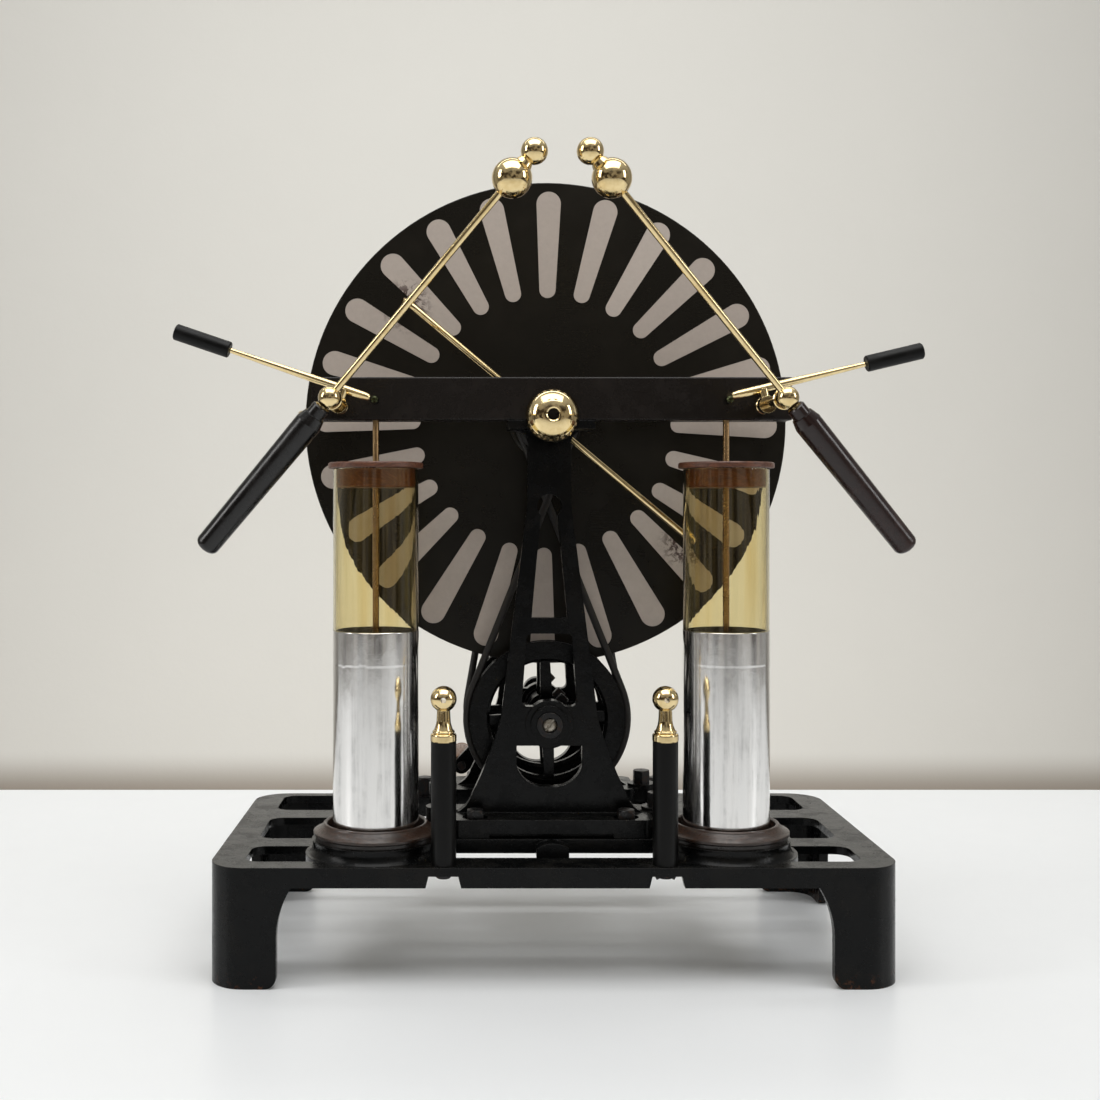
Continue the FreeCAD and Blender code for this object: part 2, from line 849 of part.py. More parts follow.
def crank_arm():
    centre = Vector(0, crank_y, drive_z)
    direction = radial(crank_angle)
    end = centre + direction * crank_throw
    across = Vector(-direction.z, 0, direction.x)
    lift = Vector(0, (crank_hub_length - crank_thickness) / 2, 0)
    root, tip = crank_root_width / 2, crank_tip_width / 2
    corners = [centre + across * root, end + across * tip, end - across * tip, centre - across * root]
    bar = Part.Face(Part.makePolygon(corners + corners[:1])).extrude(Vector(0, crank_thickness, 0))
    bar.translate(lift)
    eye = rod(end + lift, end + lift + Vector(0, crank_thickness, 0), tip)
    hub = rod(centre, centre + Vector(0, crank_hub_length, 0), crank_hub_radius)
    body = fused(bar, eye, hub)
    reach = Vector(0, 2 * crank_hub_length, 0)
    body = body.cut(rod(centre - reach, centre + reach, shaft_radius))
    body = body.cut(rod(end, end + Vector(0, 2 * crank_hub_length, 0), pin_radius))
    return body.cut(set_screw_hole(crank_screw()))


def pin_place():
    start = (crank_hub_length - crank_thickness) / 2
    return Vector(0, crank_y + start, drive_z) + radial(crank_angle) * crank_throw


def crank_pin():
    length = crank_thickness + grip_length + 2 * grip_end_clearance
    return turned(
        pin_place(),
        Vector(0, 1, 0),
        (0, 0),
        (pin_radius, 0),
        (pin_radius, length),
        (pin_head_radius, length),
        (pin_head_radius, length + pin_head_height / 2),
        (pin_head_radius / 2, length + pin_head_height),
        (0, length + pin_head_height),
    )


def crank_grip():
    start = crank_thickness + grip_end_clearance
    end = start + grip_length
    bore = pin_radius + running_clearance
    return turned(
        pin_place(),
        Vector(0, 1, 0),
        (bore, start),
        (grip_neck_radius, start),
        (grip_neck_radius + soft_edge, start + grip_bead),
        ((grip_radius, start + grip_length / 2), (grip_neck_radius + soft_edge, end - 2 * grip_bead)),
        ((grip_neck_radius + fine_edge, end - grip_bead / 2), (grip_neck_radius - soft_edge, end)),
        (bore, end),
    )


def belt_arc(z, radius, start, end, y):
    """Arc of a belt about a wheel's centre, in degrees from +X towards +Z."""
    centre = Vector(0, y, z)
    points = [centre + radial(a) * radius for a in (start, (start + end) / 2, end)]
    return Part.Arc(*points).toShape()


def belt_solid(edges):
    path = Part.Wire(Part.__sortEdges__(edges))
    start = path.OrderedEdges[0]
    tangent = start.tangentAt(start.FirstParameter)
    section = Part.Wire(Part.makeCircle(belt_radius, start.valueAt(start.FirstParameter), tangent))
    return path.makePipeShell([section], True, True)


def rear_belt():
    """Open belt: both strands run outside the two wheels."""
    rise = axle_z - drive_z
    lean = math.degrees(math.asin((drive_pitch_radius - hub_pitch_radius) / rise))
    y = belt_plane
    large = belt_arc(drive_z, drive_pitch_radius, lean, -180 - lean, y)
    small = belt_arc(axle_z, hub_pitch_radius, lean, 180 - lean, y)
    ends = []
    for angle in (lean, 180 - lean):
        low = Vector(0, y, drive_z) + radial(angle) * drive_pitch_radius
        high = Vector(0, y, axle_z) + radial(angle) * hub_pitch_radius
        ends.append(Part.makeLine(low, high))
    return belt_solid([large, ends[0], small, ends[1]])


def crossing_strand(low, high, aside):
    """Straight strand that swings aside in the middle, on four tangent arcs."""
    run = high - low
    half_swing = aside / 2
    quarter = run.Length / 4
    bend = (quarter**2 + half_swing**2) / aside
    out = Vector(0, math.copysign(1, aside), 0)
    bend, half_swing = abs(bend), abs(half_swing)

    def at(distance):
        share = distance / run.Length
        near = min(distance, run.Length - distance)
        if near <= quarter:
            swing = bend - math.sqrt(bend**2 - near**2)
        else:
            far = 2 * quarter - near
            swing = 2 * half_swing - bend + math.sqrt(bend**2 - far**2)
        return low + run * share + out * swing

    stops = [0, 1, 3, 4]
    edges = []
    for start, end in zip(stops, stops[1:]):
        points = [at(quarter * s) for s in (start, (start + end) / 2, end)]
        edges.append(Part.Arc(*points).toShape())
    return edges


def front_belt():
    """Crossed belt: its strands pass side by side between the wheels."""
    rise = axle_z - drive_z
    lean = math.degrees(math.asin((drive_pitch_radius + hub_pitch_radius) / rise))
    y = -belt_plane
    aside = belt_radius + belt_clearance
    edges = [
        belt_arc(drive_z, drive_pitch_radius, lean, -180 - lean, y),
        belt_arc(axle_z, hub_pitch_radius, -lean, 180 + lean, y),
    ]
    for large, small, swing in ((lean, 180 + lean, aside), (180 - lean, -lean, -aside)):
        low = Vector(0, y, drive_z) + radial(large) * drive_pitch_radius
        high = Vector(0, y, axle_z) + radial(small) * hub_pitch_radius
        edges += crossing_strand(low, high, swing)
    return belt_solid(edges)


# Discs


def disc(sign):
    face = Vector(0, sign * disc_face, axle_z)
    edge = disc_thickness / 5
    return turned(
        face,
        Vector(0, -sign, 0),
        (disc_bore, 0),
        (disc_radius - edge, 0),
        (disc_radius, edge),
        (disc_radius, disc_thickness - edge),
        (disc_radius - edge, disc_thickness),
        (disc_bore, disc_thickness),
    )


def sector():
    """One foil sector at the top of the front disc: two rounded ends joined by straight sides."""
    big, small = sector_outer_width / 2, sector_inner_width / 2
    big_z, small_z = sector_outer - big, sector_inner + small
    lean = math.asin((big - small) / (big_z - small_z))
    big_side = (big * math.cos(lean), big_z - big * math.sin(lean))
    small_side = (small * math.cos(lean), small_z - small * math.sin(lean))
    wire = outline(
        front(-disc_face - sector_thickness),
        small_side,
        big_side,
        ((0, sector_outer), (-big_side[0], big_side[1])),
        (-small_side[0], small_side[1]),
        ((0, sector_inner), small_side),
    )
    shape = slab(wire, Vector(0, sector_thickness, 0))
    shape.translate(Vector(0, 0, axle_z))
    return shape


def front_sectors():
    step = 360 / sector_count
    one = sector()
    copies = [around_axle(one, axle_z, sector_phase + i * step) for i in range(sector_count)]
    return Part.makeCompound(copies)


def hub_pulley(sign):
    """Disc hub with its small belt pulley, at the front (-1) or the rear (1)."""
    pulley = belt_plane - disc_face
    rim = hub_pitch_radius + hub_flange
    half = pulley_width / 2
    bore = axle_radius + running_clearance
    return turned(
        Vector(0, sign * disc_face, axle_z),
        Vector(0, sign, 0),
        (bore, spigot_gap - disc_face),
        (spigot_radius, spigot_gap - disc_face),
        (spigot_radius, -disc_thickness),
        (disc_bore, -disc_thickness),
        (disc_bore, 0),
        (hub_flange_radius, 0),
        (hub_flange_radius, hub_flange_thickness - soft_edge),
        (hub_flange_radius - 2 * soft_edge, hub_flange_thickness),
        (hub_barrel_radius + 2 * soft_edge, hub_flange_thickness),
        (hub_barrel_radius, hub_flange_thickness + 2 * soft_edge),
        (hub_barrel_radius, pulley - half - soft_edge),
        (rim, pulley - half),
        (rim, pulley - groove_radius),
        ((hub_pitch_radius - groove_radius, pulley), (rim, pulley + groove_radius)),
        (rim, pulley + half),
        (hub_barrel_radius - hub_end_taper, hub_end - disc_face),
        (bore, hub_end - disc_face),
    )


def disc_axle():
    start = Vector(0, -axle_front, axle_z)
    end = Vector(0, boss_front + nut_height - nut_dome, axle_z)
    axle = rod(start, end, axle_radius)
    neck_end = Vector(0, -bar_front, axle_z)
    thread = rod(start, neck_end, axle_radius).cut(rod(start, neck_end, knob_bore))
    return axle.cut(thread)


def axle_knob():
    """Domed brass nut with a fluted rim, which clamps the bar to the upright."""
    shoulder_x = knob_radius * knob_shoulder[0]
    shoulder_y = knob_rim + (knob_depth - knob_rim) * knob_shoulder[1]
    body = turned(
        Vector(0, -bar_front, axle_z),
        Vector(0, -1, 0),
        (knob_bore, 0),
        (knob_radius - soft_edge, 0),
        (knob_radius, soft_edge),
        (knob_radius, knob_rim),
        ((shoulder_x, shoulder_y), (knob_bore + soft_edge, knob_depth)),
        (knob_bore, knob_depth - fine_edge),
    )
    flute_start = Vector(knob_radius, -bar_front + cut_past, axle_z)
    flute = rod(flute_start, flute_start - Vector(0, knob_rim + 2 * cut_past, 0), flute_radius)
    step = 360 / knob_flutes
    return body.cut([around_axle(flute, axle_z, i * step) for i in range(knob_flutes)])


def axle_nut():
    seat = Vector(0, boss_front, axle_z)
    body = prism_head(seat, Vector(0, 1, 0), 2 * nut_radius * math.cos(math.pi / 6), nut_height, 6)
    return body.cut(rod(seat, seat + Vector(0, nut_height - nut_dome, 0), axle_radius))


# Neutralisers


def front_neutralizer_rod():
    centre = Vector(0, -neutralizer_y, axle_z)
    tip_y = -disc_face - sector_thickness - tip_ball_gap - tip_ball_radius
    parts = []
    for angle in (neutralizer_angle, neutralizer_angle + 180):
        out = radial(angle)
        corner = centre + out * neutralizer_reach
        tip = Vector(corner.x, tip_y, corner.z)
        run = [centre + out * (neutralizer_hub_radius - fine_edge), corner, tip]
        parts.append(bent_rod(run, neutralizer_radius, neutralizer_bend))
        parts.append(ball(tip, tip_ball_radius))
    half = Vector(0, neutralizer_hub_length / 2, 0)
    body = fused(rod(centre - half, centre + half, neutralizer_hub_radius), *parts)
    return body.cut(rod(centre - half * 2, centre + half * 2, axle_radius + running_clearance))


def front_brushes():
    face_y = -disc_face - sector_thickness
    shapes = []
    for angle in (neutralizer_angle, neutralizer_angle + 180):
        spot = Vector(0, 0, axle_z) + radial(angle) * neutralizer_reach
        root = Vector(spot.x, face_y - tip_ball_gap - brush_sunk, spot.z)
        end = Vector(spot.x, face_y - brush_gap, spot.z)
        wisp = cone(root, end, brush_root_radius, brush_fan_radius)
        centre = Vector(spot.x, face_y - tip_ball_gap - tip_ball_radius, spot.z)
        shapes.append(wisp.cut(ball(centre, tip_ball_radius)))
    return Part.makeCompound(shapes)


def mirrored_pair(shape):
    """The rear neutraliser leans the other way: mirrored front to back and left to right."""
    return mirror_y(shape).mirror(Vector(0, 0, 0), Vector(1, 0, 0))


# Bar, conductors and collectors


def cross_bar():
    x = (-bar_half_length, bar_half_length)
    body = block(x, (-bar_front, -bar_back), (bar_bottom_z, bar_top_z))
    long_edges = [e for e in body.Edges if e.Length > bar_half_length]
    body = body.makeChamfer(bar_chamfer, long_edges)
    cuts = [rod(Vector(0, -bar_front - cut_past, axle_z), Vector(0, 0, axle_z), axle_radius)]
    notch = (bar_bottom_z - cut_past, axle_z)
    cuts.append(block((-axle_radius, axle_radius), (-bar_front - cut_past, 0), notch))
    for sign in signs:
        stem = Vector(sign * stem_x, 0, stem_z)
        cuts.append(rod(stem - Vector(0, bar_front + cut_past, 0), stem, stem_radius))
        foot = Vector(sign * jar_x, jar_y, bar_bottom_z - cut_past)
        cuts.append(rod(foot, Vector(foot.x, foot.y, jar_rod_top_z), jar_rod_radius))
        stud = Vector(sign * jar_x, -bar_front - cut_past, stud_z)
        cuts.append(rod(stud, Vector(stud.x, jar_y, stud.z), stud_radius))
    return body.cut(cuts)


def conductor(sign):
    """Stem from the arm joint through the bar to the collector, turned about the Y direction."""
    origin = Vector(sign * stem_x, 0, stem_z)
    ring_front, ring_back = -stem_ring[1], -stem_ring[0]
    front_nut, rear_nut = -bar_front - stem_nut_height, -bar_back + stem_nut_height
    body = turned(
        origin,
        Vector(0, 1, 0),
        (0, joint_y + spigot_reach),
        (stem_spigot_radius, joint_y + spigot_reach),
        (stem_spigot_radius, ring_front),
        (stem_ring_radius - fine_edge, ring_front),
        (stem_ring_radius, ring_front + fine_edge),
        (stem_ring_radius, ring_back - fine_edge),
        (stem_ring_radius - fine_edge, ring_back),
        (stem_radius, ring_back),
        (stem_radius, front_nut),
        (stem_nut_radius - fine_edge, front_nut),
        (stem_nut_radius, front_nut + fine_edge),
        (stem_nut_radius, -bar_front),
        (stem_radius, -bar_front),
        (stem_radius, -bar_back),
        (stem_nut_radius, -bar_back),
        (stem_nut_radius, rear_nut),
        (stem_radius, rear_nut),
        (stem_radius, -comb_y),
        (0, -comb_y),
    )
    body = fused(body, ball(origin - Vector(0, comb_y, 0), stem_ball_radius))
    reach = Vector(stem_ball_radius * 2, 0, 0)
    middle = origin - Vector(0, comb_y, 0)
    return body.cut(rod(middle - reach, middle + reach, comb_radius))


def collector(sign):
    """Fork that embraces the edge of both discs, with a row of points on each side."""
    route = [
        Vector(sign * comb_inner, -comb_y, stem_z),
        Vector(sign * comb_outer, -comb_y, stem_z),
        Vector(sign * comb_outer, comb_y, stem_z),
        Vector(sign * comb_inner, comb_y, stem_z),
    ]
    parts = [ball(route[0], comb_ball_radius), ball(route[-1], comb_ball_radius)]
    first, last = sector_inner + sector_inner_width / 2, sector_outer - sector_outer_width / 2
    tip_y = disc_face + sector_thickness + pin_gap
    for i in range(pin_count):
        x = sign * (first + (last - first) * (i + 0.5) / pin_count)
        if abs(abs(x) - stem_x) < stem_ball_radius:
            continue
        for end in signs:
            root = Vector(x, end * comb_y, stem_z)
            parts.append(cone(root, Vector(x, end * tip_y, stem_z), pin_root_radius, pin_tip_radius))
    return fused(bent_rod(route, comb_radius, comb_bend), *parts)


# Discharge arms


def joint_centre(sign):
    return Vector(sign * stem_x, joint_y, stem_z)


def arm_direction(sign):
    """Unit vector from the joint up towards the spark balls."""
    tilt, lean = math.radians(arm_tilt), math.radians(arm_lean)
    flat = math.cos(lean)
    return Vector(-sign * math.cos(tilt) * flat, -math.sin(lean), math.sin(tilt) * flat)


def joint_ball(sign):
    centre, out = joint_centre(sign), arm_direction(sign)
    body = ball(centre, joint_ball_radius)
    reach = out * joint_ball_radius * 2
    body = body.cut(rod(centre - reach, centre + reach, arm_radius))
    socket = centre + Vector(0, spigot_reach - spigot_end_clearance, 0)
    back = centre + Vector(0, 2 * joint_ball_radius, 0)
    return body.cut(rod(socket, back, stem_spigot_radius + running_clearance))


def discharge_rod(sign):
    centre, out = joint_centre(sign), arm_direction(sign)
    bottom = centre - out * (collar_end + handle_bore_depth)
    return rod(bottom, centre + out * (arm_length - big_ball_radius / 2), arm_radius)


def spark_balls(sign):
    """Large and small ball turned in one piece with their neck, in line with the arm."""
    big, small = arm_length, arm_length + ball_spacing
    root, tip = ball_neck_radius + ball_neck_taper, ball_neck_radius
    return turned(
        joint_centre(sign),
        arm_direction(sign),
        (arm_radius, big - math.sqrt(big_ball_radius**2 - arm_radius**2)),
        ((big_ball_radius, big), (root, big + math.sqrt(big_ball_radius**2 - root**2))),
        (tip, small - math.sqrt(small_ball_radius**2 - tip**2)),
        ((small_ball_radius, small), (0, small + small_ball_radius)),
        (0, big - big_ball_radius / 2),
        (arm_radius, big - big_ball_radius / 2),
    )


def arm_handle(sign):
    """Insulating handle with its collar, bored for the rod."""
    bore_end = collar_end + handle_bore_depth
    return turned(
        joint_centre(sign),
        arm_direction(sign).negative(),
        (arm_radius, collar_start),
        (collar_radius - soft_edge, collar_start),
        (collar_radius, collar_start + soft_edge),
        (collar_radius, collar_end),
        (handle_radius - 2 * soft_edge, collar_end),
        (handle_radius, collar_end + handle_shoulder),
        (handle_tip_radius, handle_end - handle_round),
        ((handle_tip_radius - 1.6, handle_end - 1.4), (handle_tip_radius - handle_round, handle_end)),
        (0, handle_end),
        (0, bore_end),
        (arm_radius, bore_end),
    )


# Jar switch levers


def lever_axis(name, sign):
    """A point on the lever's line beside its pivot, and the direction of its handle."""
    slope = math.radians(lever_slope[name])
    out = Vector(sign * math.cos(slope), 0, math.sin(slope))
    up = Vector(-sign * math.sin(slope), 0, math.cos(slope))
    pivot = Vector(sign * stem_x, lever_y, stem_z)
    return pivot, pivot + up * lever_offset, out


def lever_rod(name, sign):
    pivot, middle, out = lever_axis(name, sign)
    tip = -lever_tip[name]
    end = lever_reach[name] - lever_handle_length / 2
    body = turned(
        middle,
        out,
        (0, tip),
        (lever_point_radius, tip),
        (lever_point_radius + fine_edge, tip + soft_edge),
        (lever_radius, tip + lever_point_length),
        (lever_radius, lever_collar_radius),
        (lever_thin_radius, lever_reach[name] - lever_handle_length),
        (lever_thin_radius, end),
        (0, end),
    )
    half = Vector(0, lever_collar_length / 2, 0)
    collar = rod(pivot - half, pivot + half, lever_collar_radius)
    body = fused(body, collar, rod(pivot, middle, lever_post_radius))
    return body.cut(rod(pivot - half * 2, pivot + half * 2, stem_radius + running_clearance))


def lever_handle(name, sign):
    pivot, middle, out = lever_axis(name, sign)
    start = lever_reach[name] - lever_handle_length
    end = lever_reach[name]
    edge = lever_handle_edge
    return turned(
        middle,
        out,
        (lever_thin_radius, start),
        (lever_handle_radius - edge, start),
        (lever_handle_radius, start + edge),
        (lever_handle_radius, end - edge),
        (lever_handle_radius - edge, end),
        (0, end),
        (0, end - lever_handle_length / 2),
        (lever_thin_radius, end - lever_handle_length / 2),
    )


# Leyden jars


def jar_turned(sign, start, *moves):
    return turned(Vector(sign * jar_x, jar_y, 0), Vector(0, 0, 1), start, *moves)


def jar_glass(sign):
    inner = jar_radius - jar_wall
    lip = jar_wall / 2
    return jar_turned(
        sign,
        (0, jar_bottom_z),
        (jar_radius, jar_bottom_z),
        (jar_radius, jar_top_z - lip),
        ((jar_radius - lip, jar_top_z), (inner, jar_top_z - lip)),
        (inner, jar_bottom_z + jar_floor),
        (0, jar_bottom_z + jar_floor),
    )


def outer_foil(sign):
    outer = jar_radius + foil_thickness
    return jar_turned(
        sign,
        (0, jar_bottom_z - foil_thickness),
        (outer, jar_bottom_z - foil_thickness),
        (outer, foil_top_z),
        (jar_radius, foil_top_z),
        (jar_radius, jar_bottom_z),
        (0, jar_bottom_z),
    )


def inner_foil(sign):
    outer = jar_radius - jar_wall
    inner = outer - foil_thickness
    floor = jar_bottom_z + jar_floor
    return jar_turned(
        sign,
        (0, floor),
        (outer, floor),
        (outer, foil_top_z),
        (inner, foil_top_z),
        (inner, floor + foil_thickness),
        (0, floor + foil_thickness),
    )


def jar_lid(sign):
    plug = jar_radius - jar_wall - plug_clearance
    top = jar_top_z + lid_height
    return jar_turned(
        sign,
        (jar_rod_radius, jar_top_z - plug_depth),
        (plug - soft_edge, jar_top_z - plug_depth),
        (plug, jar_top_z - plug_depth + soft_edge),
        (plug, jar_top_z),
        (lid_radius - fine_edge, jar_top_z),
        (lid_radius, jar_top_z + fine_edge),
        (lid_radius, top - soft_edge),
        (lid_radius - soft_edge, top),
        (jar_rod_radius, top),
    )


def jar_rod(sign):
    floor = jar_bottom_z + jar_floor + foil_thickness
    body = jar_turned(
        sign,
        (0, floor),
        (jar_rod_foot_radius, floor),
        (jar_rod_foot_radius, floor + jar_rod_foot_height),
        (jar_rod_radius, floor + jar_rod_foot_height + soft_edge),
        (jar_rod_radius, jar_rod_top_z),
        (0, jar_rod_top_z),
    )
    seat = Vector(sign * jar_x, jar_y, stud_z)
    length = jar_y - stud_front
    stud = turned(
        seat,
        Vector(0, -1, 0),
        (0, 0),
        (stud_radius, 0),
        (stud_radius, length - stud_radius / 2),
        (stud_radius / 2, length),
        (0, length),
    )
    return fused(body, stud)


def jar_base_ring(sign):
    floor = jar_bottom_z - foil_thickness
    top = rail_top_z + ring_height
    step = rail_top_z + ring_height * 0.32
    return jar_turned(
        sign,
        (0, rail_top_z),
        (ring_radius - 1.5, rail_top_z),
        (ring_radius - 1.5, step - 1),
        (ring_radius, step),
        (ring_radius, step + 2),
        ((ring_radius - 4.6, step + 4.4), (ring_rim_radius + 3.2, top - 1.4)),
        ((ring_rim_radius + 1.8, top), (ring_rim_radius, top - 1.2)),
        (ring_rim_radius, floor),
        (0, floor),
    )


# Outer foil terminals


def terminal_turned(sign, start, *moves):
    return turned(Vector(sign * terminal_x, terminal_y, 0), Vector(0, 0, 1), start, *moves)


def terminal_post(sign):
    top = deck_z + post_height
    return terminal_turned(
        sign,
        (terminal_stud_radius, deck_z),
        (post_radius, deck_z),
        (post_radius, top),
        (terminal_stud_radius, top),
    )


def terminal_head(sign):
    """Brass head on a stud that runs down through the post and the deck."""
    top = deck_z + post_height
    centre_z = top + head_ball_height
    end_z = deck_z - deck_thickness - terminal_nut_height + 0.6
    neck = head_neck_radius
    body = terminal_turned(
        sign,
        (0, end_z),
        (terminal_stud_radius, end_z),
        (terminal_stud_radius, top),
        (head_flange_radius - 0.5, top),
        (head_flange_radius, top + 0.8),
        (head_flange_radius, top + 4.6),
        ((head_flange_radius - 0.8, top + 6), (head_flange_radius - 2.2, top + 6.2)),
        ((head_flange_radius - 1.4, top + 7.4), (head_flange_radius - 2.4, top + 8.6)),
        ((neck + 1, top + 11.6), (neck + 0.2, top + 15.5)),
        (neck - 0.2, centre_z - head_ball_radius * 0.8),
        (neck - 0.2, centre_z),
        (0, centre_z),
    )
    centre = Vector(sign * terminal_x, terminal_y, centre_z)
    body = fused(body, ball(centre, head_ball_radius))
    reach = Vector(0, 2 * head_ball_radius, 0)
    return body.cut(rod(centre - reach, centre + reach, lead_bore_radius))


def terminal_nuts():
    """Round nut under the left terminal, wing nut under the right one."""
    roof = deck_z - deck_thickness
    down = Vector(0, 0, -1)
    seat = Vector(-terminal_x, terminal_y, roof)
    shoulder = terminal_nut_radius - 1.6
    round_nut = turned(
        seat,
        down,
        (terminal_stud_radius, 0),
        (terminal_nut_radius, 0),
        (terminal_nut_radius, terminal_nut_height * 0.4),
        ((terminal_nut_radius - 0.7, terminal_nut_height * 0.8), (shoulder, terminal_nut_height)),
        (terminal_stud_radius, terminal_nut_height),
    )
    hub = Vector(terminal_x, terminal_y, roof)
    body = rod(hub, hub + down * terminal_nut_height, shoulder)
    for sign in signs:
        place = front(terminal_y - wing_thickness / 2)
        x = terminal_x
        wing = outline(
            place,
            (x + sign * (terminal_stud_radius + 1), roof - 0.6),
            (x + sign * wing_span, roof - 1.2),
            (x + sign * (wing_span - 2), roof - wing_height),
            (x + sign * (terminal_stud_radius + 1), roof - terminal_nut_height),
        )
        body = fused(body, slab(wing, Vector(0, wing_thickness, 0)))
    wing_nut = body.cut(rod(hub, hub + down * 2 * terminal_nut_height, terminal_stud_radius))
    return Part.makeCompound([round_nut, wing_nut])


def both(make):
    """The left and right copies of a piece as separate solids of one group."""
    return Part.makeCompound([make(-1), make(1)])


def build():
    neutralizer, brushes, sectors = front_neutralizer_rod(), front_brushes(), front_sectors()
    parts = {
        "base_casting": base_casting(),
        "front_cross_rail": front_cross_rail(),
        "rear_cross_rail": rear_cross_rail(),
        "rail_bolts": rail_bolts(),
        "front_upright": upright(has_saddle=True),
        "rear_upright": mirror_y(upright(has_saddle=False)),
        "upright_bolts": upright_bolts(),
        "shaft_bushes": shaft_bushes(),
        "drive_shaft": drive_shaft(),
        "shaft_end_screw": shaft_end_screw(),
        "front_drive_wheel": drive_wheel(-1),
        "rear_drive_wheel": drive_wheel(1),
        "set_screws": set_screws(),
        "crank_arm": crank_arm(),
        "crank_pin": crank_pin(),
        "crank_grip": crank_grip(),
        "front_belt": front_belt(),
        "rear_belt": rear_belt(),
        "disc_axle": disc_axle(),
        "axle_knob": axle_knob(),
        "axle_nut": axle_nut(),
        "front_disc": disc(-1),
        "rear_disc": disc(1),
        "front_sectors": sectors,
        "rear_sectors": mirror_y(sectors),
        "front_hub_pulley": hub_pulley(-1),
        "rear_hub_pulley": hub_pulley(1),
        "front_neutralizer_rod": neutralizer,
        "rear_neutralizer_rod": mirrored_pair(neutralizer),
        "front_brushes": brushes,
        "rear_brushes": mirrored_pair(brushes),
        "cross_bar": cross_bar(),
        "jar_inner_foils": both(inner_foil),
        "jar_lids": both(jar_lid),
        "jar_rods": both(jar_rod),
        "jar_base_rings": both(jar_base_ring),
        "terminal_posts": both(terminal_post),
        "terminal_heads": both(terminal_head),
        "terminal_nuts": terminal_nuts(),
    }
    for name, sign in sides:
        parts[name + "_conductor"] = conductor(sign)
        parts[name + "_collector"] = collector(sign)
        parts[name + "_joint_ball"] = joint_ball(sign)
        parts[name + "_discharge_rod"] = discharge_rod(sign)
        parts[name + "_spark_balls"] = spark_balls(sign)
        parts[name + "_arm_handle"] = arm_handle(sign)
        parts[name + "_lever_rod"] = lever_rod(name, sign)
        parts[name + "_lever_handle"] = lever_handle(name, sign)
        parts[name + "_jar_glass"] = jar_glass(sign)
        parts[name + "_outer_foil"] = outer_foil(sign)
    return parts


os.makedirs("parts", exist_ok=True)
for node, shape in build().items():
    shape.exportStep(f"parts/{node}.step")
    print(node, len(shape.Solids), shape.isValid(), round(shape.Volume, 1))
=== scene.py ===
import json
import math
import random

import bpy
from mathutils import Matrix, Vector, noise


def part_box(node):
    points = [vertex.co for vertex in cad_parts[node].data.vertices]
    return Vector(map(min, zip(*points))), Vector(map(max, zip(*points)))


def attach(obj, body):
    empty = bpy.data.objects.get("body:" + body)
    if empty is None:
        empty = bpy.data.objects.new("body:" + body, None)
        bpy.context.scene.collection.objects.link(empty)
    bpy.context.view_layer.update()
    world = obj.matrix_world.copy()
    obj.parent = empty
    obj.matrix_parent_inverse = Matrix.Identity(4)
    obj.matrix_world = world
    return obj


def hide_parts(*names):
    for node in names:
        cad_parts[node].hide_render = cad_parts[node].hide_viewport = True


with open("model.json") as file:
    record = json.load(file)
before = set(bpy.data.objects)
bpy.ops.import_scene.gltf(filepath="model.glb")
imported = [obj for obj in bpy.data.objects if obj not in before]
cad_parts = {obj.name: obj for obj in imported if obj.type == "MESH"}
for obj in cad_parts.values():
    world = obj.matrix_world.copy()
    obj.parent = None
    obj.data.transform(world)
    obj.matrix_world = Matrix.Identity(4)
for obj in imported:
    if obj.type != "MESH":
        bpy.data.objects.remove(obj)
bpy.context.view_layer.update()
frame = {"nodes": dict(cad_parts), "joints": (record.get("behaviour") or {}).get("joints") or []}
nodes = frame["nodes"]
joints = {joint["name"]: joint for joint in frame["joints"]}
random.seed(11)
print("frame loaded with", len(nodes), "CAD nodes")


# Small helpers for wiring shader trees

def plug(tree, socket, value):  # a socket is linked, and anything else becomes the constant
    if isinstance(value, bpy.types.NodeSocket):
        tree.links.new(value, socket)
    else:
        socket.default_value = value


def put(tree, kind, sockets=None, **settings):
    node = tree.nodes.new(kind)
    for name, value in settings.items():
        setattr(node, name, value)
    for name, value in (sockets or {}).items():
        plug(tree, node.inputs[name], value)
    return node


def calc(tree, operation, a, b=0.0, c=0.0, clamp=False):
    node = put(tree, "ShaderNodeMath", operation=operation, use_clamp=clamp)
    for i, value in enumerate((a, b, c)):
        plug(tree, node.inputs[i], value)
    return node.outputs[0]


def vectorMath(tree, operation, a, b=(0, 0, 0)):
    node = put(tree, "ShaderNodeVectorMath", operation=operation)
    plug(tree, node.inputs[0], a)
    plug(tree, node.inputs[1], b)
    return node.outputs


def spread(tree, value, low, high, toLow=0.0, toHigh=1.0):
    sockets = {"Value": value, "From Min": low, "From Max": high, "To Min": toLow, "To Max": toHigh}
    return put(tree, "ShaderNodeMapRange", sockets, interpolation_type="SMOOTHSTEP").outputs[0]


def asColour(value):
    return (*value, 1) if isinstance(value, tuple) else value


def blendColours(tree, factor, first, second):
    node = put(tree, "ShaderNodeMix", data_type="RGBA")
    plug(tree, node.inputs[0], factor)
    plug(tree, node.inputs[6], asColour(first))
    plug(tree, node.inputs[7], asColour(second))
    return node.outputs[2]


def noiseAt(tree, place, scale, detail=3.0, rough=0.55, distortion=0.0):
    sockets = {"Vector": place, "Scale": scale, "Detail": detail, "Roughness": rough}
    sockets["Distortion"] = distortion
    return put(tree, "ShaderNodeTexNoise", sockets).outputs[0]


def stretched(tree, place, scale, turn=(0, 0, 0)):
    sockets = {"Vector": place, "Scale": scale, "Rotation": turn}
    return put(tree, "ShaderNodeMapping", sockets).outputs[0]


def ownPlace(tree):
    return put(tree, "ShaderNodeTexCoord").outputs["Object"]


